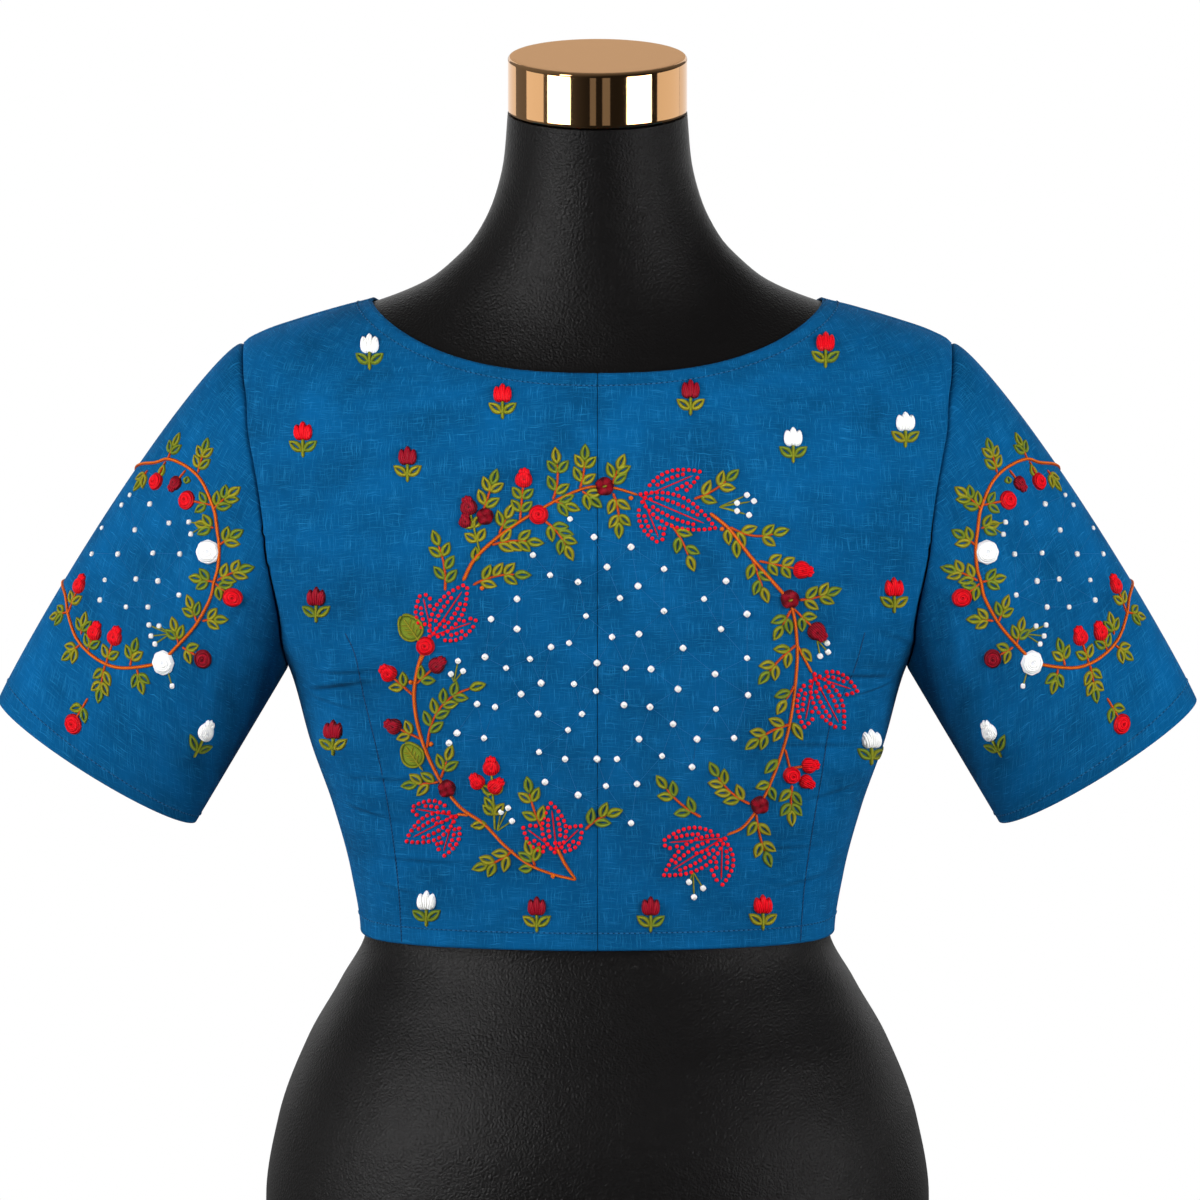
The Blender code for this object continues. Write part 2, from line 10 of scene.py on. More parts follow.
import bmesh
import bpy
import numpy as np
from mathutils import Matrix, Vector


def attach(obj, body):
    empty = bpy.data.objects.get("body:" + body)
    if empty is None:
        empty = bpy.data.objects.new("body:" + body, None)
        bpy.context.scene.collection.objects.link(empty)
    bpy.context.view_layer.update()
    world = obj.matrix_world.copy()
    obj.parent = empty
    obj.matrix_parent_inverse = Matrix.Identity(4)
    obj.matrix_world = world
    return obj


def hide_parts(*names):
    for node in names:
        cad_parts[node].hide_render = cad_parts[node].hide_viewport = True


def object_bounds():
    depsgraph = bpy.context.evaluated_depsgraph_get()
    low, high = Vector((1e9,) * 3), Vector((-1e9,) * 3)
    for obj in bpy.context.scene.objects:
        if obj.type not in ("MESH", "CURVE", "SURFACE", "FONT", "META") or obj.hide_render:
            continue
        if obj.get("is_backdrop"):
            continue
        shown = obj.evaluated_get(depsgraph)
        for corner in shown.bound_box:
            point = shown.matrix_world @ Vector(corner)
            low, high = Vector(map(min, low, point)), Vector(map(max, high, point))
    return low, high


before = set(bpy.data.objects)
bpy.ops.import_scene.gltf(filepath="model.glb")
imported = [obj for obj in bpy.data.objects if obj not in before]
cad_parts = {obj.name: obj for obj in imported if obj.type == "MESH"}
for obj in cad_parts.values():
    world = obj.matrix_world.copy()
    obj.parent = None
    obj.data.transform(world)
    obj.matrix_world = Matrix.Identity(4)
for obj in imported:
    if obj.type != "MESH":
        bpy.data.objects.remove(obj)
cad_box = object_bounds()


def linear(code):
    """A colour given as an sRGB hex code, in linear light."""
    parts = [int(code[i : i + 2], 16) / 255 for i in (0, 2, 4)]
    return tuple(((c + 0.055) / 1.055) ** 2.4 if c > 0.04045 else c / 12.92 for c in parts) + (1.0,)


def node(tree, kind, inputs=None, **settings):
    """Adds a node. Settings are its properties, and each input gets a value or the socket that feeds it."""
    new = tree.nodes.new("ShaderNode" + kind)
    for name, value in settings.items():
        setattr(new, name, value)
    for key, value in (inputs or {}).items():
        if isinstance(value, bpy.types.NodeSocket):
            tree.links.new(value, new.inputs[key])
        else:
            new.inputs[key].default_value = value
    return new


def finish(name, **values):
    """A material with one Principled shader, whose sockets get these values, and its node tree."""
    material = bpy.data.materials.new(name)
    material.use_nodes = True
    shader = material.node_tree.nodes["Principled BSDF"]
    for key, value in values.items():
        shader.inputs[key.replace("_", " ")].default_value = value
    return material, material.node_tree, shader


# The camera stands 10 m behind the form and looks down on it by 13 degrees, as the photo's does. Its long
# lens frames 632 mm, so that near and far parts of the blouse keep their sizes.
VIEW_TARGET = Vector((0.0013, 0.0, 0.4080))
VIEW_LEAN = math.radians(13)
VIEW_DISTANCE = 10.0
LENS_MM = 570
SENSOR_MM = 36

camera = bpy.data.objects.new("camera", bpy.data.cameras.new("camera"))
camera.data.lens = LENS_MM
camera.data.sensor_width = SENSOR_MM
camera.data.clip_end = 200
camera.location = VIEW_TARGET + VIEW_DISTANCE * Vector((0, -math.cos(VIEW_LEAN), math.sin(VIEW_LEAN)))
camera.rotation_euler = (math.pi / 2 - VIEW_LEAN, 0, 0)
bpy.context.scene.collection.objects.link(camera)
bpy.context.scene.camera = camera
bpy.context.scene.view_settings.view_transform = "Standard"

# The stage is a plain white floor in a plain white room, as behind a catalogue photo. Both are lit evenly
# and throw nothing back on the part, so that the soft lights alone shape it.
FLOOR_REACH = 14.0
ROOM_RADIUS = 40.0
WHITE = (1, 1, 1, 1)
BLACK = (0, 0, 0, 1)


def stage_object(name, mesh):
    thing = bpy.data.objects.new(name, mesh)
    bpy.context.scene.collection.objects.link(thing)
    matt = {"Base_Color": BLACK, "Roughness": 1.0, "Specular_IOR_Level": 0.0}
    white = finish(name + " white", Emission_Color=WHITE, Emission_Strength=1.0, **matt)[0]
    mesh.materials.append(white)
    thing.visible_diffuse = False
    thing.visible_glossy = False
    thing.visible_shadow = False
    thing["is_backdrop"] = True


floor_mesh = bpy.data.meshes.new("floor")
corners = [(x * FLOOR_REACH, y * FLOOR_REACH, 0) for x, y in ((-1, -1), (1, -1), (1, 1), (-1, 1))]
floor_mesh.from_pydata(corners, [], [(0, 1, 2, 3)])
stage_object("floor", floor_mesh)
room_mesh = bpy.data.meshes.new("room")
room = bmesh.new()
bmesh.ops.create_icosphere(room, subdivisions=3, radius=ROOM_RADIUS)
room.to_mesh(room_mesh)
room.free()
stage_object("room", room_mesh)

# Soft studio light: broad keys beside the camera, and panels that only show as reflections. The low ones ring
# the form, because the cap's side mirrors them. Each row gives a light's place, its size and its brightness,
# and says whether it lights the part or is only mirrored in it.
LIGHT_FIELDS = "name azimuth height distance wide tall glow lights"
StudioLight = namedtuple("StudioLight", LIGHT_FIELDS, defaults=(False,))
STUDIO_LIGHTS = [
    StudioLight("left key", -60, 1.30, 3.0, 1.8, 1.4, 15.6, True),
    StudioLight("right key", 62, 1.30, 3.0, 1.8, 1.4, 14.4, True),
    StudioLight("low key", 0, 0.10, 3.0, 2.4, 0.8, 4.0, True),
    StudioLight("front fill", 180, 1.40, 3.0, 2.4, 1.8, 7.0, True),
    StudioLight("shine", -42, 1.50, 3.2, 0.8, 1.3, 9.5),
    StudioLight("far wall", 180, 1.50, 3.0, 3.4, 2.2, 0.80),
    StudioLight("left panel", -50.7, 0.28, 2.0, 1.13, 0.22, 11.0),
    StudioLight("right panel", 55.2, 0.28, 2.0, 1.26, 0.22, 11.0),
    StudioLight("thin left strip", -5.8, 0.28, 2.0, 0.26, 0.22, 0.22),
    StudioLight("thin right strip", 11.0, 0.28, 2.0, 0.34, 0.22, 0.24),
    StudioLight("left wall", -88, 0.28, 2.0, 1.08, 0.30, 1.0),
    StudioLight("left far wall", -154, 0.28, 2.0, 1.85, 0.30, 0.9),
    StudioLight("right wall", 106, 0.28, 2.0, 1.74, 0.30, 1.0),
    StudioLight("right far wall", 155, 0.28, 2.0, 1.86, 0.30, 0.9),
]
AMBIENT_LOW = 0.02
AMBIENT_HIGH = 0.24

for spec in STUDIO_LIGHTS:
    light = bpy.data.lights.new(spec.name, "AREA")
    light.shape = "RECTANGLE"
    light.size = spec.wide
    light.size_y = spec.tall
    light.energy = spec.glow * math.pi * spec.wide * spec.tall
    lamp = bpy.data.objects.new(spec.name, light)
    turn = math.radians(spec.azimuth)
    lamp.location = (spec.distance * math.sin(turn), -spec.distance * math.cos(turn), spec.height)
    lamp.rotation_euler = (lamp.location - VIEW_TARGET).to_track_quat("Z", "Y").to_euler()
    lamp.visible_camera = False
    lamp.visible_diffuse = spec.lights
    lamp.visible_glossy = not spec.lights
    bpy.context.scene.collection.objects.link(lamp)

# The air of the room is bright overhead and on the far side, and dim low down and where the camera stands,
# so that the leatherette shines softly along its upper edges.
AIR_BRIGHT_WAY = (-0.40, 0.62, 0.34)

world = bpy.data.worlds.new("studio air")
world.use_nodes = True
air = world.node_tree
way = node(air, "TexCoord").outputs["Generated"]
rise = node(air, "VectorMath", {0: way, 1: AIR_BRIGHT_WAY}, operation="DOT_PRODUCT").outputs["Value"]
spread = {"Value": rise, "From Min": -0.6, "From Max": 0.8, "To Min": AMBIENT_LOW, "To Max": AMBIENT_HIGH}
glow = node(air, "MapRange", spread)
air.links.new(glow.outputs[0], air.nodes["Background"].inputs["Strength"])
air.nodes["Background"].inputs["Color"].default_value = WHITE
bpy.context.scene.world = world

# The dress form: a padded torso without limbs under tight black leatherette, whose grain is fine and
# wrinkled. Its level lines and formulas are those of its CAD solid, and the cloth hangs in the same shape.
# Each row gives the heights and depths of one ring, how square it is, and what the cloth adds to it.
FORM_FIELDS = "name side_z half_width back_z back front_z front square wide behind before"
Level = namedtuple("Level", FORM_FIELDS, defaults=(0, 0, 0))
LEVELS = [
    Level("base", 0.000, 0.1600, 0.000, 0.1010, 0.000, 0.0900, 2.3),
    Level("base edge", 0.006, 0.1655, 0.006, 0.1060, 0.006, 0.0940, 2.3),
    Level("thigh", 0.040, 0.1715, 0.040, 0.1130, 0.040, 0.0980, 2.3),
    Level("hip", 0.084, 0.1757, 0.084, 0.1170, 0.084, 0.0990, 2.25),
    Level("upper hip", 0.127, 0.1690, 0.127, 0.1130, 0.127, 0.0970, 2.25),
    Level("high hip", 0.170, 0.1532, 0.170, 0.1010, 0.170, 0.0920, 2.2),
    Level("flank", 0.200, 0.1365, 0.200, 0.0880, 0.200, 0.0840, 2.2),
    Level("hem", 0.2305, 0.1223, 0.2375, 0.0765, 0.2350, 0.0780, 2.2, 0.0008, 0.0008, 0.0010),
    Level("waist", 0.262, 0.1258, 0.266, 0.0790, 0.264, 0.0820, 2.3, 0.0020, 0.0018, 0.0030),
    Level("rib", 0.300, 0.1345, 0.301, 0.0850, 0.301, 0.0900, 2.4, 0.0030, 0.0020, 0.0040),
    Level("under bust", 0.335, 0.1448, 0.334, 0.0912, 0.335, 0.0985, 2.5, 0.0045, 0.0014, 0.0030),
    Level("armpit", 0.3745, 0.1540, 0.370, 0.0960, 0.372, 0.1035, 2.6, 0.0060, 0.0006, 0.0004),
    Level("armhole low", 0.405, 0.1660, 0.395, 0.0980, 0.398, 0.1030, 2.6, 0.0100, 0.0004, 0.0004),
    Level("armhole middle", 0.462, 0.1840, 0.440, 0.0980, 0.440, 0.0975, 2.6, 0.0140, 0.0002, 0.0002),
    Level("armhole high", 0.515, 0.1860, 0.482, 0.0920, 0.478, 0.0890, 2.5, 0.0080),
    Level("armhole top", 0.5340, 0.1860, 0.498, 0.0885, 0.490, 0.0860, 2.4, 0.0020),
    Level("tip", 0.5446, 0.1832, 0.509, 0.0855, 0.498, 0.0835, 2.3, 0.0008),
    Level("outer shoulder", 0.5500, 0.1750, 0.517, 0.0830, 0.5035, 0.0815, 2.3),
    Level("shoulder", 0.5562, 0.1580, 0.5265, 0.0795, 0.5095, 0.0790, 2.2),
    Level("inner shoulder", 0.5638, 0.1330, 0.537, 0.0745, 0.516, 0.0755, 2.2),
    Level("neckline", 0.5680, 0.1175, 0.5440, 0.0670, 0.5215, 0.0710, 2.1),
    Level("neck root", 0.5800, 0.0890, 0.5635, 0.0575, 0.5470, 0.0585, 2.05),
    Level("neck slope", 0.5917, 0.0745, 0.5805, 0.0530, 0.5690, 0.0530, 2.0),
    Level("low neck", 0.6025, 0.0647, 0.5960, 0.0508, 0.5885, 0.0505, 2.0),
    Level("neck", 0.6240, 0.0541, 0.6220, 0.0488, 0.6190, 0.0485, 2.0),
    Level("high neck", 0.6457, 0.0490, 0.6455, 0.0475, 0.6450, 0.0475, 2.0),
    Level("neck top", 0.6697, 0.0470, 0.6697, 0.0470, 0.6697, 0.0470, 2.0),
]
RING_RISE = 3.0
BUST_OUT = 0.0200
BUST_APART = 0.0860
BUST_HEIGHT = 0.3820
BUST_WIDTH = 0.0480
BUST_TALL = 0.0470
FORM_SIDES = 144
FORM_ROWS = 170

sides_of = np.array([(row.side_z, row.half_width) for row in LEVELS])
STATIONS = np.concatenate([[0.0], np.cumsum(np.hypot(*np.diff(sides_of, axis=0).T))])
LEVEL_OF = {row.name: station for row, station in zip(LEVELS, STATIONS)}


def column_of(field):
    """One column of the table, and its slopes for a cubic that never overshoots its rows."""
    values = np.array([getattr(row, field) for row in LEVELS], float)
    steps = np.diff(values) / np.diff(STATIONS)
    before, after = steps[:-1], steps[1:]
    same_way = before * after > 0
    inner = np.where(same_way, 2 * before * after / np.where(same_way, before + after, 1.0), 0.0)
    return values, np.concatenate([steps[:1], inner, steps[-1:]])


COLUMNS = {field: column_of(field) for field in Level._fields[1:]}


def at_level(field, level):
    """One column of the table at any levels between its rows."""
    values, bends = COLUMNS[field]
    i = np.clip(np.searchsorted(STATIONS, level, side="left") - 1, 0, len(STATIONS) - 2)
    span = STATIONS[i + 1] - STATIONS[i]
    t = (level - STATIONS[i]) / span
    return (
        (2 * t**3 - 3 * t**2 + 1) * values[i]
        + (t**3 - 2 * t**2 + t) * span * bends[i]
        + (3 * t**2 - 2 * t**3) * values[i + 1]
        + (t**3 - t**2) * span * bends[i + 1]
    )


def torso(angle, level, clothed):
    """Points of the form's skin or, if clothed, of the shape that the cloth hangs in.

    The angle is 0 at the wearer's right side, -90 degrees at the centre back and 90 at the centre front.
    """
    c, s = np.cos(angle), np.sin(angle)
    square = at_level("square", level)
    gain = (np.abs(c) ** square + np.abs(s) ** square) ** (-1 / square)
    behind = s < 0
    deep = np.where(behind, at_level("back", level), at_level("front", level))
    wide = at_level("half_width", level)
    if clothed:
        wide = wide + at_level("wide", level)
        deep = deep + np.where(behind, at_level("behind", level), at_level("before", level))
    middle_z = np.where(behind, at_level("back_z", level), at_level("front_z", level))
    x = wide * c * gain
    z = middle_z + (at_level("side_z", level) - middle_z) * np.abs(c) ** RING_RISE
    aside = np.abs(x) - BUST_APART
    if clothed:
        aside = np.maximum(aside, 0.0)
    bust = BUST_OUT * np.exp(-((aside / BUST_WIDTH) ** 2) - ((z - BUST_HEIGHT) / BUST_TALL) ** 2)
    y = deep * s * gain + np.where(behind, 0.0, bust * s)
    return np.stack(np.broadcast_arrays(x, y, z), axis=-1)


def unit(vectors):
    return vectors / np.linalg.norm(vectors, axis=-1, keepdims=True)


def normals_of(surface, u, v, du, dv):
    """Outward normals of a surface at (u, v), from points a little to each side."""
    along_u = surface(u + du, v) - surface(u - du, v)
    along_v = surface(u, v + dv) - surface(u, v - dv)
    return unit(np.cross(along_u, along_v))


def grid_faces(rows, columns, start=0, flip=False):
    """Quads over a grid of points that is stored row by row."""
    corner = start + np.arange(rows - 1)[:, None] * columns + np.arange(columns - 1)
    quads = np.stack([corner, corner + 1, corner + columns + 1, corner + columns], axis=-1).reshape(-1, 4)
    return quads[:, ::-1] if flip else quads


def new_piece(name, points, faces, material, uv=None, weld=False, uv_name="cut", oriented=False):
    """An object made from points and faces, with its UV map in metres on the cut cloth or thread."""
    mesh = bpy.data.meshes.new(name)
    mesh.from_pydata(points.reshape(-1, 3).tolist(), [], [list(map(int, face)) for face in faces])
    if uv is not None:
        layer = mesh.uv_layers.new(name=uv_name)
        corner = np.empty(len(mesh.loops), dtype=np.int32)
        mesh.loops.foreach_get("vertex_index", corner)
        layer.data.foreach_set("uv", uv.reshape(-1, 2)[corner].astype(np.float32).ravel())
    work = bmesh.new()
    work.from_mesh(mesh)
    if weld:
        bmesh.ops.remove_doubles(work, verts=work.verts, dist=1e-6)
    if not oriented:
        bmesh.ops.recalc_face_normals(work, faces=work.faces)
    work.to_mesh(mesh)
    work.free()
    mesh.shade_smooth()
    mesh.materials.append(material)
    piece = bpy.data.objects.new(name, mesh)
    bpy.context.scene.collection.objects.link(piece)
    return piece


# Black leatherette: cloth with a thin embossed coat. The coat gives a soft sheen over fine creases. The real
# grain is about 1 mm wide, and it is drawn at 2.4 mm, because one that fine doesn't show in the render.
GRAIN_PER_METRE = 420.0
PORES_PER_METRE = 900.0
RIPPLES_PER_METRE = 60.0
GRAIN_DEPTH = 0.0006

leatherette, tree, shader = finish(
    "black leatherette", Base_Color=linear("090808"), Roughness=0.40, Specular_IOR_Level=0.27
)
place = node(tree, "TexCoord").outputs["Object"]
creases = node(tree, "TexVoronoi", {"Vector": place, "Scale": GRAIN_PER_METRE}, feature="DISTANCE_TO_EDGE")
grain = node(tree, "TexNoise", {"Vector": place, "Scale": PORES_PER_METRE, "Detail": 4.0})
ripples = node(
    tree, "TexNoise", {"Vector": place, "Scale": RIPPLES_PER_METRE, "Detail": 5.0, "Roughness": 0.6}
)
heights = node(tree, "Math", {0: creases.outputs["Distance"], 1: grain.outputs[0]}, operation="ADD")
heights = node(tree, "Math", {0: heights.outputs[0], 1: ripples.outputs[0]}, operation="ADD")
bump = node(tree, "Bump", {"Height": heights.outputs[0], "Strength": 0.60, "Distance": GRAIN_DEPTH})
tree.links.new(bump.outputs[0], shader.inputs["Normal"])

ring = FORM_SIDES + 1
form_angles = np.linspace(-math.pi, math.pi, ring)
form_levels = np.linspace(0, STATIONS[-1], FORM_ROWS + 1)
skin = torso(form_angles[None, :], form_levels[:, None], False)
ends = [range(ring - 1), range(FORM_ROWS * ring, len(form_levels) * ring - 1)]
faces = list(grid_faces(len(form_levels), ring)) + ends
form = new_piece("form_skin", skin, faces, leatherette, weld=True)
form.data.set_sharp_from_angle(angle=math.radians(50))
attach(form, "root")
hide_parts("form_torso")

# The neck cap: a turned and polished rose gold disc, 94 mm across, with eased edges and a brushed top. It
# closes the top of the form's neck. Its side mirrors the room, and its brushed top only glows.
CAP_RADIUS = 0.0470
CAP_BOTTOM = 0.6700
CAP_TOP = 0.7000
CAP_EDGE = 0.0020
CAP_SIDES = 160
CAP_TOP_RINGS = 24
CAP_MIDDLE = 0.0005

polished = finish("polished rose gold", Base_Color=linear("D6A573"), Metallic=1.0, Roughness=0.06)[0]
brushed, tree, shader = finish(
    "brushed rose gold top", Base_Color=linear("D8AB85"), Metallic=1.0, Roughness=0.42
)
shader.inputs["Specular Tint"].default_value = linear("FFEACB")
eased = [
    (CAP_RADIUS - CAP_EDGE * (1 - math.cos(a)), CAP_TOP - CAP_EDGE * (1 - math.sin(a)))
    for a in np.linspace(0, math.pi / 2, 7)
]
top = [(r, CAP_TOP) for r in np.linspace(CAP_RADIUS - CAP_EDGE, CAP_MIDDLE, CAP_TOP_RINGS)[1:]]
lower = [(r, CAP_BOTTOM + CAP_TOP - z) for r, z in eased[::-1]]
wall = [(CAP_RADIUS, z) for z in (CAP_BOTTOM + CAP_EDGE * 1.3, CAP_TOP - CAP_EDGE * 1.3)]
profile = np.array([(CAP_MIDDLE, CAP_BOTTOM)] + lower + wall + eased + top)
ring = CAP_SIDES + 1
turn = np.linspace(0, 2 * math.pi, ring)
radii, rises = profile[:, :1], profile[:, 1:]
spun = np.stack([radii * np.cos(turn), radii * np.sin(turn), np.repeat(rises, ring, axis=1)], axis=-1)
ends = [range(ring - 1), range((len(profile) - 1) * ring, len(profile) * ring - 1)]
faces = list(grid_faces(len(profile), ring)) + ends
cap = new_piece("cap_turned", spun, faces, polished, weld=True)
cap.data.materials.append(brushed)
for face in cap.data.polygons:
    face.material_index = int(face.center.z > CAP_TOP - CAP_EDGE * 0.1)
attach(cap, "root")
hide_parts("neck_cap")

# The blouse's body: two backs and two fronts in blue slub cotton, joined by a centre-back seam, side seams
# and the armhole seams. The cloth bridges the bust, and drags in soft folds from the waist to the sides.
CLOTH = 0.0014
SEAM_GAP = 0.0003
CLOTH_REST = 0.0008
ARMHOLE_BACK = math.radians(36)
ARMHOLE_FRONT = math.radians(40)
ARMPIT = LEVEL_OF["armpit"]
TIP = LEVEL_OF["tip"]
HEM = LEVEL_OF["hem"]
NECKLINE = LEVEL_OF["neckline"]
ARMHOLE_MIDDLE = (ARMPIT + TIP) / 2
ARMHOLE_HALF = (TIP - ARMPIT) / 2
SEAM_ROLL = 0.0005
SEAM_ROLL_WIDTH = 0.0010
ANGLE_STEP = 1e-3
LEVEL_STEP = 1e-4

# Soft folds: their side (1 right, -1 left), the height of their middle, its angle round the torso in degrees,
# their length round it in degrees, their half height, how far they stand out, and how much they climb.
Fold = namedtuple("Fold", "side height angle length tall depth climb")
FOLDS = [
    Fold(-1, 0.386, -42, 44, 0.0070, 0.0018, -0.022),
    Fold(-1, 0.345, -34, 40, 0.0085, 0.0016, -0.010),
    Fold(-1, 0.318, -40, 52, 0.0080, 0.0017, -0.006),
    Fold(-1, 0.292, -33, 44, 0.0075, 0.0014, -0.004),
    Fold(-1, 0.268, -38, 46, 0.0065, 0.0012, 0.003),
    Fold(-1, 0.470, -50, 36, 0.0080, 0.0010, -0.030),
    Fold(1, 0.392, -36, 34, 0.0070, 0.0016, -0.014),
    Fold(1, 0.358, -40, 46, 0.0085, 0.0018, -0.012),
    Fold(1, 0.330, -34, 42, 0.0075, 0.0013, -0.007),
    Fold(1, 0.304, -41, 54, 0.0080, 0.0016, -0.005),
    Fold(1, 0.276, -35, 40, 0.0070, 0.0013, 0.002),
    Fold(1, 0.462, -52, 38, 0.0085, 0.0010, -0.028),
    Fold(-1, 0.340, 36, 50, 0.0090, 0.0016, -0.010),
    Fold(-1, 0.300, 42, 54, 0.0080, 0.0014, -0.005),
    Fold(1, 0.346, 38, 46, 0.0085, 0.0015, -0.012),
    Fold(1, 0.312, 44, 56, 0.0080, 0.0015, -0.006),
    Fold(1, 0.280, 36, 40, 0.0070, 0.0012, -0.002),
]

# Sharp creases, measured in the same way: they start at the armholes and at the ends of the darts. Each is a
# ridge with a trough below it, or above it where the depth is negative.
CREASE_STEEP = 2.0
CREASES = [
    Fold(-1, 0.3880, -44, 26, 0.0019, 0.0008, -0.0040),
    Fold(-1, 0.3790, -40, 30, 0.0024, 0.0010, -0.0080),
    Fold(-1, 0.3680, -35, 24, 0.0018, 0.0007, 0.0020),
    Fold(-1, 0.4570, -36, 30, 0.0022, 0.0008, -0.0180),
    Fold(-1, 0.4400, -34, 24, 0.0024, 0.0007, -0.0120),
    Fold(-1, 0.3290, -46, 38, 0.0022, 0.0008, -0.0040),
    Fold(-1, 0.3080, -36, 32, 0.0021, 0.0006, 0.0030),
    Fold(-1, 0.2840, -48, 36, 0.0020, 0.0007, -0.0020),
    Fold(-1, 0.2660, -40, 30, 0.0020, 0.0005, 0.0020),
    Fold(1, 0.4470, -32, 28, 0.0022, 0.0008, -0.0180),
    Fold(1, 0.4020, -34, 26, 0.0020, 0.0007, -0.0100),
    Fold(1, 0.3840, -40, 30, 0.0021, 0.0010, -0.0050),
    Fold(1, 0.3740, -34, 24, 0.0018, 0.0007, 0.0020),
    Fold(1, 0.3480, -46, 38, 0.0022, 0.0008, -0.0060),
    Fold(1, 0.3190, -37, 32, 0.0021, 0.0006, 0.0030),
    Fold(1, 0.2910, -48, 36, 0.0020, 0.0007, -0.0030),
    Fold(1, 0.2700, -38, 28, 0.0020, 0.0005, 0.0020),
    Fold(-1, 0.3700, 38, 28, 0.0020, 0.0007, -0.0060),
    Fold(-1, 0.3200, 40, 36, 0.0022, 0.0008, -0.0030),
    Fold(1, 0.3740, 36, 28, 0.0020, 0.0007, -0.0060),
    Fold(1, 0.3290, 42, 36, 0.0022, 0.0008, 0.0020),
]


def mirror(side):
    """Turns places on the wearer's right, where side is 1, into those of the left, where it is -1."""
    return np.array([side, 1, 1])


def fold_out(side, angle, height):
    """How far the soft folds push a body panel out of its plain shape."""
    total = np.zeros(np.broadcast(angle, height).shape)
    for fold in FOLDS + CREASES:
        if fold.side == side:
            round_it = np.clip((np.degrees(angle) - fold.angle) / (fold.length / 2), -1, 1)
            up = (height - fold.height - fold.climb * round_it) / fold.tall
            shape = np.exp(-up * up) * (up * CREASE_STEEP if fold in CREASES else 1.0)
            total = total + fold.depth * np.cos(math.pi / 2 * round_it) ** 2 * shape
    return total


def cloth_normals(angle, level):
    return normals_of(lambda a, b: torso(a, b, True), angle, level, ANGLE_STEP, LEVEL_STEP)


def cloth(side, angle, level, out):
    """Points of the cloth. out is 0 on its inside and the cloth's thickness on its outside."""
    places = torso(angle, level, True)
    push = CLOTH_REST + fold_out(side, angle, places[..., 2]) + out
    return (places + cloth_normals(angle, level) * push[..., None]) * mirror(side)


def spaced(count):
    """Shares from 0 to 1, with closer steps at both ends for the rolled seam edges."""
    plain = np.linspace(0, 1, count + 1)
    close = np.array([0.15, 0.4]) / count
    return np.sort(np.concatenate([plain, close, 1 - close]))


def body_grid(is_front, columns, low_rows, arm_rows, high_rows):
    """Angles and levels over one body panel, from its centre edge to its side, and from hem to neck."""
    up = np.linspace(0, 1, low_rows + 1)
    turn = np.linspace(0, math.pi, arm_rows + 1)[1:]
    above = np.linspace(0, 1, high_rows + 1)[1:]
    beside_arm = ARMHOLE_MIDDLE - ARMHOLE_HALF * np.cos(turn)
    levels = np.concatenate([HEM + (ARMPIT - HEM) * up, beside_arm, TIP + (NECKLINE - TIP) * above])
    armhole = np.concatenate([0 * up, np.sin(turn), 0 * above])
    middle = math.pi / 2 - SEAM_GAP / 2 / at_level("half_width", levels)
    seam = SEAM_GAP / 2 / at_level("front" if is_front else "back", levels)
    edge = np.maximum((ARMHOLE_FRONT if is_front else ARMHOLE_BACK) * armhole, seam)
    angles = middle[:, None] + (edge - middle)[:, None] * spaced(columns)[None, :]
    levels = np.repeat(levels[:, None], angles.shape[1], axis=1)
    return (angles if is_front else -angles), levels


def run_along(points, axis=0):
    """How far along its line each point lies."""
    run = np.cumsum(np.linalg.norm(np.diff(points, axis=axis), axis=-1), axis=axis)
    return np.concatenate([np.zeros_like(run.take([0], axis)), run], axis=axis)


def cut_height(angle, level):
    """How far up its cut piece each point of the body lies, in metres from the hem."""
    marks = np.linspace(-math.pi / 2, math.pi / 2, 61)
    rises = np.linspace(HEM, NECKLINE, 160)
    table = run_along(torso(marks[None, :], rises[:, None], True))
    i = np.clip((angle - marks[0]) / (marks[1] - marks[0]), 0, len(marks) - 1.001)
    j = np.clip((level - rises[0]) / (rises[1] - rises[0]), 0, len(rises) - 1.001)
    i0, j0 = i.astype(int), j.astype(int)
    fi, fj = i - i0, j - j0
    low = table[j0, i0] * (1 - fi) + table[j0, i0 + 1] * fi
    high = table[j0 + 1, i0] * (1 - fi) + table[j0 + 1, i0 + 1] * fi
    return low * (1 - fj) + high * fj


def make_wall(name, outside, inside, uv, material, weld=False):
    """A closed wall of cloth from the grids of its two faces."""
    rows, columns = outside.shape[:2]
    count = rows * columns
    faces = [grid_faces(rows, columns), grid_faces(rows, columns, count, flip=True)]
    rim = [(0, j) for j in range(columns)] + [(i, columns - 1) for i in range(1, rows)]
    rim += [(rows - 1, j) for j in range(columns - 2, -1, -1)] + [(i, 0) for i in range(rows - 2, -1, -1)]
    line = np.array([i * columns + j for i, j in rim])
    across_ends = np.ones(len(line) - 1, bool)
    if weld:
        across_ends = (line[:-1] % columns) != (line[1:] % columns)
    a, b = line[:-1][across_ends], line[1:][across_ends]
    faces.append(np.stack([b, a, a + count, b + count], axis=-1))
    points = np.concatenate([outside.reshape(-1, 3), inside.reshape(-1, 3)])
    both = np.concatenate([uv.reshape(-1, 2), uv.reshape(-1, 2)])
    return new_piece(name, points, np.concatenate(faces), material, both, weld)


# Slub cotton: a matt plain weave whose uneven threads show as thin lighter streaks, both ways, 5 to 20 mm
# long. Its UV map is the cut cloth in metres, so the streaks run along and across the grain. The threads of
# the real cloth are about 0.25 mm apart, and they are drawn coarser, because those don't show in the render.
COTTON = "045083"
COTTON_STREAK = "1E74A8"
COTTON_SHADE = "034069"
STREAK_WIDE = 0.00036
STREAK_LONG = 0.0125
WEAVE_PITCH = 0.0006
WEAVE_RELIEF = 0.00035
WANDERS_PER_METRE = 130.0
WANDER = 0.0030
PATCHES_PER_METRE = 28.0

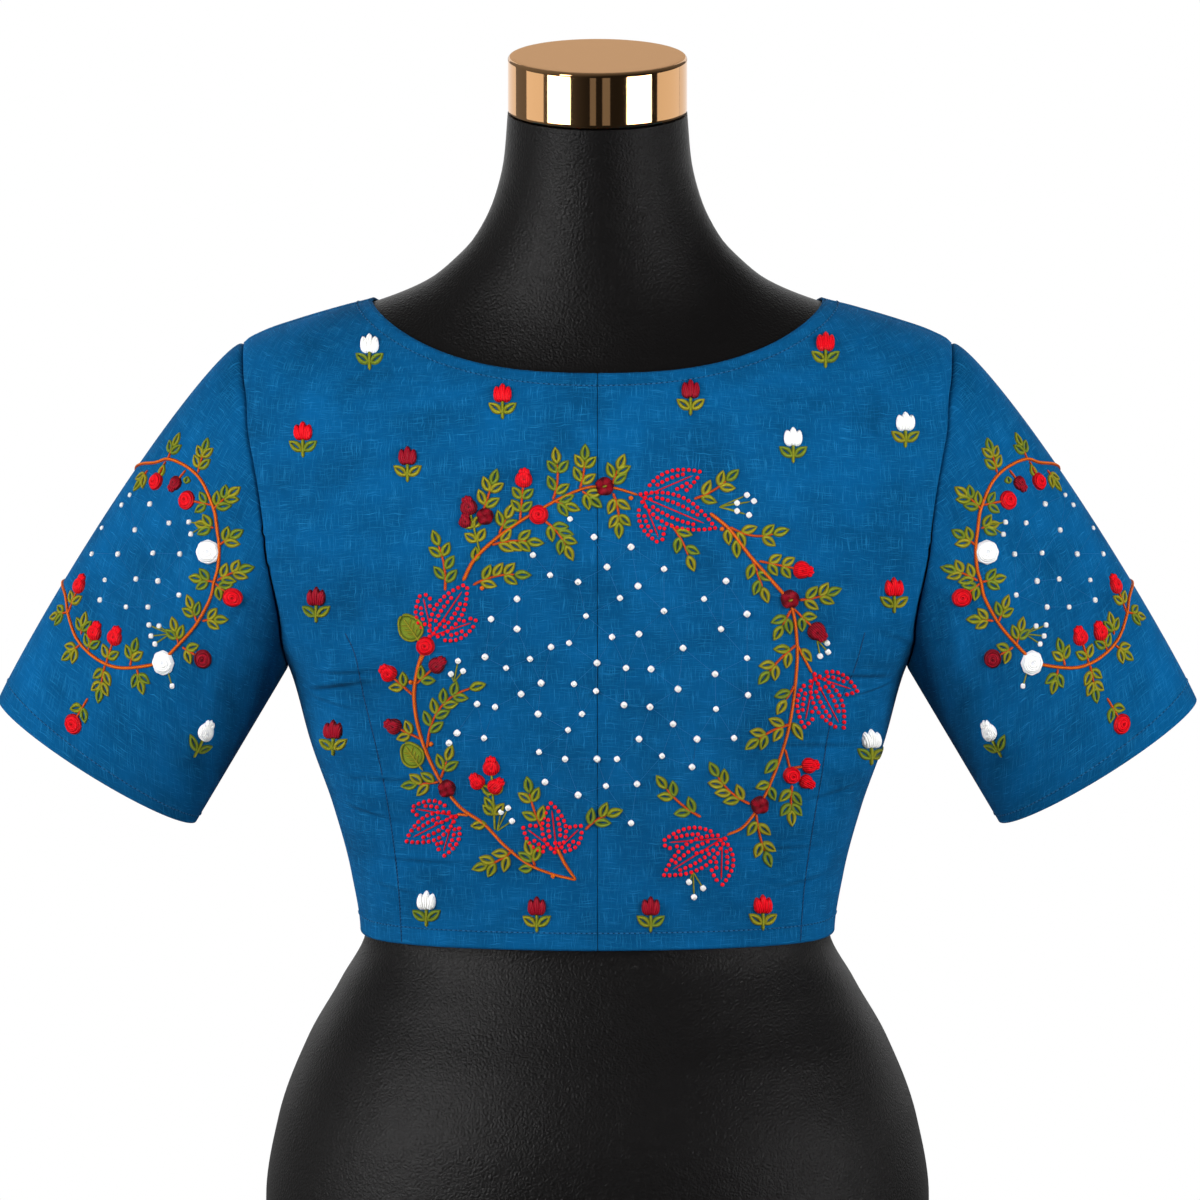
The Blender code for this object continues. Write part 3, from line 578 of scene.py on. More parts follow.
cotton, tree, shader = finish("blue slub cotton", Roughness=0.92, Specular_IOR_Level=0.08, Sheen_Weight=0.03)
shader.inputs["Sheen Roughness"].default_value = 0.45
shader.inputs["Sheen Tint"].default_value = linear("6FB4DC")
cut = node(tree, "UVMap", uv_map="cut").outputs[0]
wander = node(tree, "TexNoise", {"Vector": cut, "Scale": WANDERS_PER_METRE, "Detail": 3.0})
wander = node(tree, "VectorMath", {0: wander.outputs["Color"], 1: (0.5, 0.5, 0.5)}, operation="SUBTRACT")
wander = node(tree, "VectorMath", {0: wander.outputs[0], "Scale": WANDER}, operation="SCALE")
bent = node(tree, "VectorMath", {0: cut, 1: wander.outputs[0]}, operation="ADD").outputs[0]
streaks = []
for wide, long in ((STREAK_WIDE, STREAK_LONG), (STREAK_LONG, STREAK_WIDE)):
    stretched = node(tree, "VectorMath", {0: bent, 1: (1 / wide, 1 / long, 1)}, operation="MULTIPLY")
    noise = node(tree, "TexNoise", {"Vector": stretched.outputs[0], "Scale": 1.0, "Detail": 1.5})
    streaks.append(noise.outputs[0])
streak = node(tree, "Math", {0: streaks[0], 1: streaks[1]}, operation="MAXIMUM").outputs[0]
bright = node(tree, "MapRange", {"Value": streak, "From Min": 0.58, "From Max": 0.78}).outputs[0]
patches = node(tree, "TexNoise", {"Vector": cut, "Scale": PATCHES_PER_METRE, "Detail": 4.0}).outputs[0]
tone = node(tree, "MapRange", {"Value": patches, "From Min": 0.3, "From Max": 0.7}).outputs[0]
ground = node(tree, "MixRGB", {"Fac": tone, "Color1": linear(COTTON_SHADE), "Color2": linear(COTTON)})
streaked = {"Fac": bright, "Color1": ground.outputs[0], "Color2": linear(COTTON_STREAK)}
tree.links.new(node(tree, "MixRGB", streaked).outputs[0], shader.inputs["Base Color"])
scaled = node(tree, "VectorMath", {0: bent, "Scale": 1 / WEAVE_PITCH}, operation="SCALE").outputs[0]
weave = node(tree, "TexNoise", {"Vector": scaled, "Scale": 1.0, "Detail": 2.0}).outputs[0]
relief = node(tree, "Math", {0: streak, 1: weave}, operation="ADD").outputs[0]
bump = node(tree, "Bump", {"Height": relief, "Strength": 0.55, "Distance": WEAVE_RELIEF})
tree.links.new(bump.outputs[0], shader.inputs["Normal"])

BODY_ROWS = (104, 110, 26)
BACK_COLUMNS = 90
FRONT_COLUMNS = 60


def rolled(distance):
    """How far the cloth's outside turns in near a seam."""
    return SEAM_ROLL * np.exp(-((distance / SEAM_ROLL_WIDTH) ** 2))


def body_panel(name, side, is_front, columns):
    """One body panel as a thin wall with rolled edges at its seams."""
    angles, levels = body_grid(is_front, columns, *BODY_ROWS)
    plain = cloth(side, angles, levels, 0 * angles)
    run = run_along(plain, 1)
    outside = cloth(side, angles, levels, CLOTH - rolled(np.minimum(run, run[:, -1:] - run)))
    uv = np.stack([run * side, cut_height(angles, levels)], axis=-1)
    return make_wall(name, outside, plain, uv, cotton)


BACK_CUT = (0.230, 0.345)
BACK_AREA = 0.0653
FRONT_CUT = (0.232, 0.340)
FRONT_AREA = 0.0644
for side, word in ((1, "right"), (-1, "left")):
    cuts = (
        (False, "back", BACK_CUT, BACK_AREA, BACK_COLUMNS),
        (True, "front", FRONT_CUT, FRONT_AREA, FRONT_COLUMNS),
    )
    for is_front, part, cut_size, cut_area, columns in cuts:
        name = f"{part}_{word}"
        panel = body_panel(name + "_cloth", side, is_front, columns)
        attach(panel, "root")
        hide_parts(name)

# The placket: the strip over the front opening, 22 mm wide, cut from the same cotton and sewn on the fronts.
# The photo doesn't show it, so it is plain.
PLACKET_WIDTH = 0.022
PLACKET_COLUMNS = 10
placket_levels = np.linspace(HEM, NECKLINE, 150)
placket_across = PLACKET_WIDTH * (0.5 - spaced(PLACKET_COLUMNS))
halves = []
for side in (1, -1):
    part = placket_across[placket_across * side >= 0]
    angles = math.pi / 2 - np.abs(part)[None, :] / at_level("half_width", placket_levels)[:, None]
    levels = np.repeat(placket_levels[:, None], len(part), axis=1)
    inner = cloth(side, angles, levels, np.full(angles.shape, CLOTH + SEAM_GAP))
    outer = cloth(side, angles, levels, np.full(angles.shape, 2 * CLOTH + SEAM_GAP))
    cut_map = np.stack([np.repeat(part[None, :], len(levels), 0), cut_height(angles, levels)], axis=-1)
    halves.append((inner, outer, cut_map))
inner, outer, uv = (np.concatenate([halves[0][k], halves[1][k][:, 1:]], axis=1) for k in range(3))
placket = make_wall("front_placket_cloth", outer, inner, uv, cotton)
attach(placket, "root")
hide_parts("front_placket")

# The set-in sleeves reach the elbow. Each is one piece with a seam under the arm and a hem 42 mm deep,
# and its cap has slight fullness where it meets the armhole seam.
SLEEVE_HEM_MIDDLE = np.array([0.2637, 0.0020, 0.3210])
SLEEVE_HEM_OUTER = np.array([0.3158, 0.0020, 0.3537])
SLEEVE_HEM_DEPTH = 0.0435
SLEEVE_TOP_BULGE = 0.0225
SLEEVE_SIDE_BULGE = 0.0120
SLEEVE_COLUMNS = 150
SLEEVE_ROWS = 96

# Soft folds of the sleeves: their side, where they lie in degrees round the sleeve and in shares along it,
# their half width in degrees, their half length, how far they stand out, and how much they slant.
SleeveFold = namedtuple("SleeveFold", "side turn along wide long depth slant")
SLEEVE_FOLDS = [
    SleeveFold(-1, 62, 0.26, 9, 0.20, 0.0022, 60),
    SleeveFold(-1, 105, 0.34, 10, 0.22, 0.0020, 80),
    SleeveFold(-1, 128, 0.62, 9, 0.20, 0.0016, -60),
    SleeveFold(1, 70, 0.30, 10, 0.22, 0.0021, 70),
    SleeveFold(1, 112, 0.28, 9, 0.18, 0.0022, 70),
    SleeveFold(1, 120, 0.66, 10, 0.18, 0.0015, -50),
    SleeveFold(-1, 250, 0.32, 11, 0.22, 0.0020, -70),
    SleeveFold(1, 242, 0.36, 11, 0.24, 0.0020, -80),
]
OUTWARD = SLEEVE_HEM_OUTER - SLEEVE_HEM_MIDDLE
AWAY = OUTWARD / np.linalg.norm(OUTWARD)
BACKWARD = np.array([0.0, -1.0, 0.0])
SLEEVE_TOP_POINT = np.array([0.1840, 0.0, 0.5450])


def armhole_line(side, turn, inset):
    """Points on the outside of the armhole line, set into the armhole from the panels' edges."""
    turn = turn % (2 * math.pi)
    behind = turn < math.pi
    reach = np.where(behind, ARMHOLE_BACK, ARMHOLE_FRONT)
    sign = np.where(behind, -1.0, 1.0)
    out = np.full(turn.shape, CLOTH)
    middle = np.full(turn.shape, ARMHOLE_MIDDLE)
    edge = cloth(side, sign * reach, middle, out)
    nearer = cloth(side, sign * (reach - ANGLE_STEP), middle, out)
    pace = np.linalg.norm(edge - nearer, axis=-1) / ANGLE_STEP
    angle = sign * (reach - inset / pace) * np.abs(np.sin(turn))
    return cloth(side, angle, ARMHOLE_MIDDLE + (ARMHOLE_HALF - inset) * np.cos(turn), out)


def sleeve_folds_out(side, turn, along):
    """How far the soft folds push a sleeve out of its plain shape."""
    total = np.zeros(turn.shape)
    for fold in SLEEVE_FOLDS:
        if fold.side == side:
            beyond = np.clip((along - fold.along) / fold.long, -1, 1)
            aside = (np.degrees(turn) - fold.turn - fold.slant * (along - fold.along)) / fold.wide
            total = total + fold.depth * np.cos(math.pi / 2 * beyond) ** 2 * np.exp(-aside * aside)
    return total


def sleeve_outside(side, turn, along):
    """Points of a sleeve's outside. turn runs from its top over the back, along from seam to hem."""
    turn = turn % (2 * math.pi)
    start = armhole_line(side, turn, SEAM_GAP)
    c, s = np.cos(turn)[..., None], np.sin(turn)[..., None]
    end = SLEEVE_HEM_MIDDLE + OUTWARD * c + SLEEVE_HEM_DEPTH * BACKWARD * s
    bulge = AWAY * SLEEVE_TOP_BULGE * np.maximum(c, 0) ** 2 + BACKWARD * SLEEVE_SIDE_BULGE * s
    share = along[..., None]
    swell = bulge * share**0.5 * (1 - share) ** 0.85
    swell = swell + (AWAY * c + BACKWARD * s) * sleeve_folds_out(side, turn, along)[..., None]
    return start + (end * mirror(side) - start) * share + swell * mirror(side)


def sleeve_normals(side, turn, along):
    step = 2e-3
    along = np.clip(along, step, 1 - step)
    return normals_of(lambda a, b: sleeve_outside(side, a, b), turn, along, step, step) * side


for side, word in ((1, "right"), (-1, "left")):
    name = "sleeve_" + word
    turns = math.pi + 2 * math.pi * np.linspace(0, 1, SLEEVE_COLUMNS + 1)
    turns, along = np.meshgrid(turns, spaced(SLEEVE_ROWS))
    outside = sleeve_outside(side, turns, along)
    normals = sleeve_normals(side, turns, along)
    into = unit(armhole_line(side, turns[:1], 4 * SEAM_GAP) - armhole_line(side, turns[:1], SEAM_GAP))
    normals[:1] = unit(normals[:1] - into * np.sum(normals[:1] * into, axis=-1, keepdims=True))
    roll = rolled(run_along(outside)) * (along < 0.5)
    axis = SLEEVE_HEM_MIDDLE * mirror(side) - outside[0].mean(axis=0)
    uv = np.stack([run_along(outside, 1), outside @ (axis / np.linalg.norm(axis))], axis=-1)
    inside = outside - normals * CLOTH
    piece = make_wall(name + "_cloth", outside - normals * roll[..., None], inside, uv, cotton, weld=True)
    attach(piece, "root")
    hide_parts(name)

# Where sewing goes is given as the photo shows it, in pixels of its 1200 x 1200 frame, at 1900 pixels for
# each metre. A ground is a stretch of cloth that such places are found on, through a flat layout of it.
PHOTO_MIDDLE = np.array([597.5, 600.0])
PIXELS_PER_METRE = 1900.0
SETTLE_STEPS = 9
SETTLE_REACH = 6.0
Ground = namedtuple("Ground", "places normals layout fit")


def seen_at(places):
    """Where the camera sees places, in metres across and up from the middle of its view."""
    rise = places[..., 2] - VIEW_TARGET.z
    up = rise * math.cos(VIEW_LEAN) + places[..., 1] * math.sin(VIEW_LEAN)
    nearer = rise * math.sin(VIEW_LEAN) - places[..., 1] * math.cos(VIEW_LEAN)
    larger = VIEW_DISTANCE / (VIEW_DISTANCE - nearer)
    return np.stack([places[..., 0] * larger, up * larger], axis=-1)


def from_photo(pixels):
    """Places in the camera's view, in metres, from pixels of the photo."""
    return (np.asarray(pixels, float) - PHOTO_MIDDLE) * np.array([1, -1]) / PIXELS_PER_METRE


def guess_terms(spots):
    x, y = spots[..., 0] * 10, spots[..., 1] * 10
    return np.stack([x**0, x, y, x * x, x * y, y * y, x**3, x * x * y, x * y * y, y**3], axis=-1)


def make_ground(places, normals, layout):
    rows, columns = layout.shape[:2]
    v, u = np.meshgrid(np.arange(rows), np.arange(columns), indexing="ij")
    terms = guess_terms(layout).reshape(rows * columns, -1)
    fit = np.linalg.lstsq(terms, np.stack([u, v], axis=-1).reshape(-1, 2), rcond=None)[0]
    return Ground(places, normals, layout, fit)


def read(table, u, v):
    """A table's values at places between its cells."""
    rows, columns = table.shape[:2]
    u = np.clip(u, 0, columns - 1.001)
    v = np.clip(v, 0, rows - 1.001)
    i, j = u.astype(int), v.astype(int)
    a, b = (u - i)[:, None], (v - j)[:, None]
    low = table[j, i] * (1 - a) + table[j, i + 1] * a
    high = table[j + 1, i] * (1 - a) + table[j + 1, i + 1] * a
    return low * (1 - b) + high * b


def turned(a, b):
    return a[:, 0] * b[:, 1] - a[:, 1] * b[:, 0]


def settle(ground, spots):
    """The cells of a ground that lie at these places of its layout, by Newton's rule."""
    rows, columns = ground.layout.shape[:2]
    u, v = (guess_terms(spots) @ ground.fit).T
    u, v = np.clip(u, 1, columns - 2), np.clip(v, 1, rows - 2)
    for _ in range(SETTLE_STEPS):
        by_u = read(ground.layout, u + 0.5, v) - read(ground.layout, u - 0.5, v)
        by_v = read(ground.layout, u, v + 0.5) - read(ground.layout, u, v - 0.5)
        miss = spots - read(ground.layout, u, v)
        scale = turned(by_u, by_v)
        scale = np.where(np.abs(scale) < 1e-12, 1e-12, scale)
        aside = np.clip(turned(miss, by_v) / scale, -SETTLE_REACH, SETTLE_REACH)
        ahead = np.clip(turned(by_u, miss) / scale, -SETTLE_REACH, SETTLE_REACH)
        u = np.clip(u + aside, 0.5, columns - 1.5)
        v = np.clip(v + ahead, 0.5, rows - 1.5)
    return u, v


# The back's ground: both panels side by side, as the camera sees them. It reaches from the hem to the neck
# and almost round to the sides, and the sewing on it follows the cloth's own folds.
GROUND_COLUMNS = 90
GROUND_ROWS = 170
GROUND_SIDE = -0.06
half = np.linspace(-math.pi / 2, GROUND_SIDE, GROUND_COLUMNS + 1)
rows_up = np.linspace(HEM, NECKLINE, GROUND_ROWS + 1)
angles, levels = np.meshgrid(half, rows_up)
halves = {}
for side in (-1, 1):
    places = cloth(side, angles, levels, np.full(angles.shape, CLOTH))
    halves[side] = (places, cloth_normals(angles, levels) * mirror(side))
places, normals = (np.concatenate([halves[-1][k][:, :0:-1], halves[1][k]], axis=1) for k in range(2))
back_ground = make_ground(places, normals, seen_at(places))

# A sleeve's ground: the sleeve unrolled, with how far round it a place lies from its top line, and how far
# up along its axis. The stretch that faces the camera is read from the photo's pixels.
FACING_FROM = math.radians(-25)
FACING_TO = math.radians(150)
SLEEVE_GROUND_COLUMNS = 180
SLEEVE_GROUND_ROWS = 100
TOP_COLUMN = SLEEVE_GROUND_COLUMNS // 2
sleeve_turns = np.linspace(-math.pi, math.pi, SLEEVE_GROUND_COLUMNS + 1)
sleeve_grounds = {}
turns, along = np.meshgrid(sleeve_turns, np.linspace(0, 1, SLEEVE_GROUND_ROWS + 1))
for side in (-1, 1):
    places = sleeve_outside(side, turns, along)
    normals = sleeve_normals(side, turns, along)
    axis = unit((SLEEVE_HEM_OUTER - SLEEVE_TOP_POINT) * mirror(side))
    steps = np.diff(places, axis=1)
    steps = np.linalg.norm(steps - (steps @ axis)[..., None] * axis, axis=-1)
    run = np.concatenate([np.zeros((len(places), 1)), np.cumsum(steps, axis=1)], axis=1)
    run = run - run[:, TOP_COLUMN : TOP_COLUMN + 1]
    layout = np.stack([run, -(places - SLEEVE_TOP_POINT * mirror(side)) @ axis], axis=-1)
    sleeve_grounds[side] = make_ground(places, normals, layout)
facing = (sleeve_turns > FACING_FROM) & (sleeve_turns < FACING_TO)
left = sleeve_grounds[-1]
seen_sleeve = make_ground(left.places[:, facing], left.normals[:, facing], seen_at(left.places[:, facing]))


def on_sleeve(pixels):
    """Places of the unrolled sleeve from pixels of the photo's left sleeve."""
    spots = from_photo(pixels).reshape(-1, 2)
    u, v = settle(seen_sleeve, spots)
    return read(left.layout[:, facing], u, v).reshape(np.shape(pixels))


# Threads: stranded cotton and wool, with a soft sheen. The map's first number runs across the stitches, in
# metres, and the second from a motif's edge, 0, to its ridge, 1. The thread's colour carries painted shade:
# it turns to a darker edge colour towards the edges and between the strands, where shade falls. Real strands
# are about 0.4 mm wide. Most are drawn 0.6 to 1.5 mm apart, because finer ones don't show in the render.
STRAND_RELIEF = 0.00020
# How much the strand wave paints light and shade into the colour, and how much painted shade all of it gets.
STRAND_CONTRAST = 0.22
STRAND_DARKER = -0.16


def thread_finish(name, main, edge, pitch, rough=0.6):
    material, tree, shader = finish(name, Roughness=rough, Specular_IOR_Level=0.22, Sheen_Weight=0.0)
    place = node(tree, "SeparateXYZ", {0: node(tree, "UVMap", uv_map="thread").outputs[0]})
    phase = node(tree, "Math", {0: place.outputs[0], 1: 2 * math.pi / pitch}, operation="MULTIPLY")
    wave = node(tree, "Math", {0: phase.outputs[0]}, operation="SINE").outputs[0]
    ridge = node(tree, "MapRange", {"Value": place.outputs[1], "From Min": 0.05, "From Max": 0.75}).outputs[0]
    # Painted shade: the edge colour shows where the ridge and the strand wave leave the thread least lit.
    lit = {0: wave, 1: STRAND_CONTRAST, 2: STRAND_DARKER}
    lit = node(tree, "Math", lit, operation="MULTIPLY_ADD").outputs[0]
    lit = node(tree, "Math", {0: ridge, 1: lit}, operation="ADD", use_clamp=True).outputs[0]
    mix = node(tree, "MixRGB", {"Fac": lit, "Color1": linear(edge), "Color2": linear(main)}).outputs[0]
    tree.links.new(mix, shader.inputs["Base Color"])
    bump = node(tree, "Bump", {"Height": wave, "Strength": 0.8, "Distance": STRAND_RELIEF})
    tree.links.new(bump.outputs[0], shader.inputs["Normal"])
    return material


# Each thread: its name, its main colour, the darker colour of its painted shade, and its strand pitch.
THREADS = {
    "orange": thread_finish("orange thread", "DD6A16", "7E2606", 0.0015),
    "rust": thread_finish("orange red thread", "D0541A", "7E200A", 0.0013),
    "olive": thread_finish("olive thread", "979922", "465412", 0.0007),
    "green": thread_finish("leaf green thread", "83932A", "3C5012", 0.0007),
    "straw": thread_finish("straw yellow thread", "A69E26", "545610", 0.0007),
    "red": thread_finish("bright red wool", "E40418", "94000C", 0.0010),
    "crimson": thread_finish("crimson wool", "960820", "3E020C", 0.0010),
    "scarlet": thread_finish("scarlet wool dots", "FA0C24", "BC0618", 0.0010),
    "white": thread_finish("white wool", "FFFEFA", "DADDE2", 0.0010),
    "blue": thread_finish("pale blue trace", "0E6198", "08558A", 0.0011),
    # The dart lines are not thread: they are the painted shade where the cloth dips into the darts.
    "dusk": thread_finish("painted dart shade line", "03355C", "03355C", 0.0020),
}

# Each stitched form is a small grid of places on the layout, with heights over the cloth: a corded line, a
# leaf with a raised rim, or a padded head. Its edges go a little into the cloth, so that no gap shows.
ROPE_ACROSS = np.array([-1.0, -0.72, 0.0, 0.72, 1.0])
ROPE_UP = np.array([-0.10, 0.62, 1.0, 0.62, -0.10])
ROPE_STEP = 0.0008
SUNK = -0.00012


def points_at(at, run, points):
    """The places that lie this far along a line of points."""
    return np.stack([np.interp(at, run, column) for column in points.T], axis=-1)


def along_curve(points):
    """A smooth curve through points, as evenly spaced places."""
    points = np.asarray(points, float)
    ends = np.concatenate([[2 * points[0] - points[1]], points, [2 * points[-1] - points[-2]]])
    fine = []
    t = np.linspace(0, 1, 24, endpoint=False)[:, None]
    for a, b, c, d in zip(ends, ends[1:], ends[2:], ends[3:]):
        bend = (2 * a - 5 * b + 4 * c - d) * t**2
        fine.append(0.5 * (2 * b + (c - a) * t + bend + (3 * b - a - 3 * c + d) * t**3))
    fine = np.concatenate(fine + [points[-1:]])
    run = run_along(fine)
    count = max(int(run[-1] / ROPE_STEP), 3)
    return points_at(np.linspace(0, run[-1], count + 1), run, fine)


def heading_of(angle):
    return np.array([math.cos(angle), math.sin(angle)])


def rope(parts, thread, path, width, height=0.55, taper=0.0, lift=0.0):
    """A corded line along a path. Its ends are rounded, and taper thins it towards its last point."""
    tangents = unit(np.gradient(path, axis=0))
    beside = np.stack([-tangents[:, 1], tangents[:, 0]], axis=-1)
    run = run_along(path)
    half_width = width / 2 * (1 - taper * run / run[-1])
    ends = np.sqrt(np.clip(np.minimum(run, run[-1] - run) / (width / 2), 0.04, 1))
    half_width = half_width * ends
    spots = path[:, None, :] + beside[:, None, :] * (ROPE_ACROSS * half_width[:, None])[..., None]
    heights = ROPE_UP * (half_width * 2 * height)[:, None] + lift
    # The cord's sides get painted shade: the map's second number falls from 1 on its crest to 0 there.
    ridge = np.repeat([1 - np.abs(ROPE_ACROSS)], len(path), 0)
    uv = np.stack([run[:, None] + ROPE_ACROSS * width * 0.8, ridge], axis=-1)
    parts.append((thread, spots, heights, uv))


LEAF_LENGTH = 0.0097
LEAF_WIDTH = 0.0056
LEAF_HEIGHT = 0.0009
LEAF_PARTS = 13
RIM_SHARES = np.array([0.0, 0.22, 0.50, 0.80, 1.0])
RIM_HEIGHTS = np.array([-0.1, 0.75, 1.0, 0.7, -0.1])
SLIT_FROM = 0.28
SLIT_TO = 0.76
SLIT_WIDE = 0.09


def leaf(parts, thread, base, angle, length=LEAF_LENGTH):
    """A leaf with a raised stitched rim round a narrow slit, where the cloth shows."""
    share = (1 - np.cos(np.linspace(0, math.pi, LEAF_PARTS))) / 2
    share = np.concatenate([share, share[-2::-1]])
    hand = np.where(np.arange(len(share)) < LEAF_PARTS, 1.0, -1.0)
    bulge = np.sin(math.pi * share**0.85) ** 0.85
    outer = np.stack([share * length, hand * bulge * LEAF_WIDTH / 2], axis=-1)
    slit = SLIT_FROM + (SLIT_TO - SLIT_FROM) * share
    inner = np.stack([slit * length, hand * bulge * LEAF_WIDTH / 2 * SLIT_WIDE], axis=-1)
    flat = outer[:, None, :] * (1 - RIM_SHARES)[:, None] + inner[:, None, :] * RIM_SHARES[:, None]
    ahead, beside = heading_of(angle), heading_of(angle + math.pi / 2)
    spots = base + flat[..., :1] * ahead + flat[..., 1:] * beside
    heights = np.repeat([RIM_HEIGHTS * LEAF_HEIGHT], len(share), 0)
    run = run_along(outer)
    # Painted shade on both slopes of the rim, through the map's second number.
    ridge = 1 - np.abs(RIM_SHARES - 0.5) * 2
    uv = np.stack([run[:, None] + RIM_SHARES * 0.0012, np.repeat([ridge], len(share), 0)], axis=-1)
    parts.append((thread, spots, heights, uv))


DOME_RINGS = np.array([0.0, 0.30, 0.55, 0.75, 0.90, 1.0])
WOUND_RINGS = np.concatenate([np.linspace(0.0, 0.80, 11), [0.87, 0.93, 0.97, 1.0]])
WIND_PITCH = 0.0009


def dome(
    parts, thread, centre, angle, outline, height, lines="rings",
    relief=None, rings=DOME_RINGS, sides=24, shade=None,
):
    """A padded form. outline gives how far along and beside its axis its edge lies at each angle round it.

    relief and shade give its bumps, and how lit its thread is, at each angle and share of the way outward.
    """
    turn = np.linspace(0, 2 * math.pi, sides + 1)
    reach_x, reach_y = outline(turn)
    share = rings[:, None]
    x, y = share * reach_x, share * reach_y
    ahead, beside = heading_of(angle), heading_of(angle + math.pi / 2)
    spots = centre + x[..., None] * ahead + y[..., None] * beside
    tall = np.clip(1 - share**2.2, 0, 1) ** 0.55 * np.ones_like(x)
    if relief is not None:
        tall = tall + relief(turn[None, :], share)
    heights = np.where(share > 0.999, SUNK, height * tall)
    reach = np.hypot(reach_x, reach_y)
    across = {
        "rings": share * reach + WIND_PITCH * turn / (2 * math.pi),
        "rays": reach.mean() * turn + 0 * x,
        "length": y,
    }
    # Painted shade: the thread darkens towards the form's rim, unless a shade function paints it instead.
    lit = (1 - share**2.6) * 1.3 if shade is None else shade(turn[None, :], share)
    parts.append((thread, spots, heights, np.stack([across[lines], lit + 0 * x], axis=-1)))


def round_edge(radius, lobes=0, depth=0.0):
    def outline(turn):
        reach = radius * (1 + depth * np.cos(lobes * turn))
        return reach * np.cos(turn), reach * np.sin(turn)

    return outline


def petal(parts, thread, base, angle, length, width, height):
    """One padded petal, broad at its base and pointed at its tip."""
    def outline(turn):
        along = np.cos(turn)
        return length / 2 * along, width / 2 * np.sin(turn) * np.sqrt(np.clip(1 - 0.55 * along, 0, 2))

    dome(parts, thread, base + heading_of(angle) * length / 2, angle, outline, height, "length", sides=16)


PAD_HEIGHT = 0.0024


def wound(turns, depth, dimple):
    """The relief of thread that is wound round a middle, with a small hollow in it, and its shade."""
    def relief(turn, share):
        coil = np.cos(2 * math.pi * turns * share - turn)
        return depth * coil * (share > 0.12) - dimple * np.exp(-((share / 0.16) ** 2))

    # Painted light and shade: lighter on the coils, darker between them and in the hollow middle.
    def shade(turn, share):
        coil = np.cos(2 * math.pi * turns * share - turn)
        return (1 - share**4) * 0.75 + 0.22 * coil - 0.75 * np.exp(-((share / 0.13) ** 2))

    return {"relief": relief, "shade": shade, "rings": WOUND_RINGS, "sides": 28}


def disc(parts, thread, centre, angle, radius):
    """A flat wheel of wound thread, whose small hollow middle is darkened by painted shade."""
    edge = round_edge(radius, 7, 0.012)
    dome(parts, thread, centre, angle, edge, PAD_HEIGHT, "rings", **wound(2.6, 0.10, 0.35))


def ball(parts, thread, centre, angle, radius):
    """A round berry with uneven ridges from its middle to its edge."""
    def ridges(turn, share):
        return np.cos(4 * turn + 2.4 * share)

    def relief(turn, share):
        hollow = 0.22 * np.exp(-((share / 0.3) ** 2))
        return share * (0.16 * ridges(turn, share) + 0.08 * np.cos(9 * turn)) - hollow

    # Painted light and shade: lighter on the ridges, darker in the hollow middle.
    def shade(turn, share):
        hollow = 0.3 * np.exp(-((share / 0.2) ** 2))
        return (1 - share**3) * 0.8 + 0.35 * share * ridges(turn, share) - hollow

    edge = round_edge(radius, 5, 0.03)
    dome(parts, thread, centre, angle, edge, PAD_HEIGHT * 1.1, "rays", relief, WOUND_RINGS, 28, shade)


def bud(parts, thread, centre, angle, radius):
    """A round bud with a crown of three small points."""
    for aside, far in ((-0.50, 0.92), (0.50, 0.92), (0.0, 1.0)):
        base = centre + heading_of(angle + aside) * radius * 0.40
        long, wide = radius * 0.78 * far, radius * 0.62
        petal(parts, thread, base, angle + aside * 0.55, long, wide, PAD_HEIGHT * 0.75)
    body = centre - heading_of(angle) * radius * 0.10
    edge = round_edge(radius * 0.92, 3, 0.03)
    dome(parts, thread, body, angle, edge, PAD_HEIGHT, "length", **wound(1.6, 0.06, 0.10))


def tulip(parts, thread, centre, angle, radius):
    """A tulip head of two side petals and a longer middle one."""
    foot = centre - heading_of(angle) * radius * 1.02
    for aside, long in ((0.42, 1.85), (-0.42, 1.85), (0.0, 2.15)):
        start = foot + heading_of(angle + math.pi / 2) * radius * aside * 0.75
        petal(parts, thread, start, angle + aside * 0.50, radius * long, radius * 1.05, PAD_HEIGHT)


def rosette(parts, thread, centre, angle, radius):
    """A wide rose of wound thread with a scalloped edge."""
    edge = round_edge(radius, 8, 0.035)
    dome(parts, thread, centre, angle, edge, PAD_HEIGHT * 1.05, "rings", **wound(2.6, 0.09, 0.18))


def knot(parts, centre, radius):
    dome(parts, "white", centre, radius * 900, round_edge(radius, 4, 0.06), radius * 0.80, "rays", sides=12)


def round_leaf(parts, centre, angle, radius):
    """A broad pointed leaf with a raised rim and veins."""
    def outline(turn):
        reach = radius * (0.92 + 0.34 * np.clip(np.cos(turn), 0, 1) ** 5)
        return reach * np.cos(turn), reach * np.sin(turn)

    dome(parts, "green", centre, angle, outline, 0.0005, "length", sides=40)
    ahead, beside = heading_of(angle), heading_of(angle + math.pi / 2)
    x, y = outline(np.linspace(0, 2 * math.pi, 60))
    rope(parts, "olive", centre + x[:, None] * ahead + y[:, None] * beside, 0.0016, 0.6)
    spine = centre + np.linspace(-1.5, 1.05, 14)[:, None] * ahead * radius
    rope(parts, "straw", spine, 0.0011, 0.6, lift=0.0004)
    for far in (-0.55, -0.15, 0.25):
        for hand in (-1, 1):
            start = centre + ahead * radius * far
            end = start + heading_of(angle + hand * 0.85) * radius * 0.62
            vein = start + np.linspace(0, 1, 8)[:, None] * (end - start)
            rope(parts, "straw", vein, 0.0009, 0.6, lift=0.0004)


FLOWERS = {"disc": disc, "ball": ball, "bud": bud, "tulip": tulip, "rosette": rosette}
LEAF_THREADS = ["olive", "green", "straw", "olive", "straw", "green"]
VINE_WIDTH = 0.0022
VINE_TAPER = 0.35
BRANCH_WIDTH = 0.0016
STALK_WIDTH = 0.0014
LEAF_SPREAD = math.radians(40)
SHORT_STEM = 0.016
MIDDLE_STEM = 0.0215


def angle_of(vector):
    return math.atan2(vector[1], vector[0])


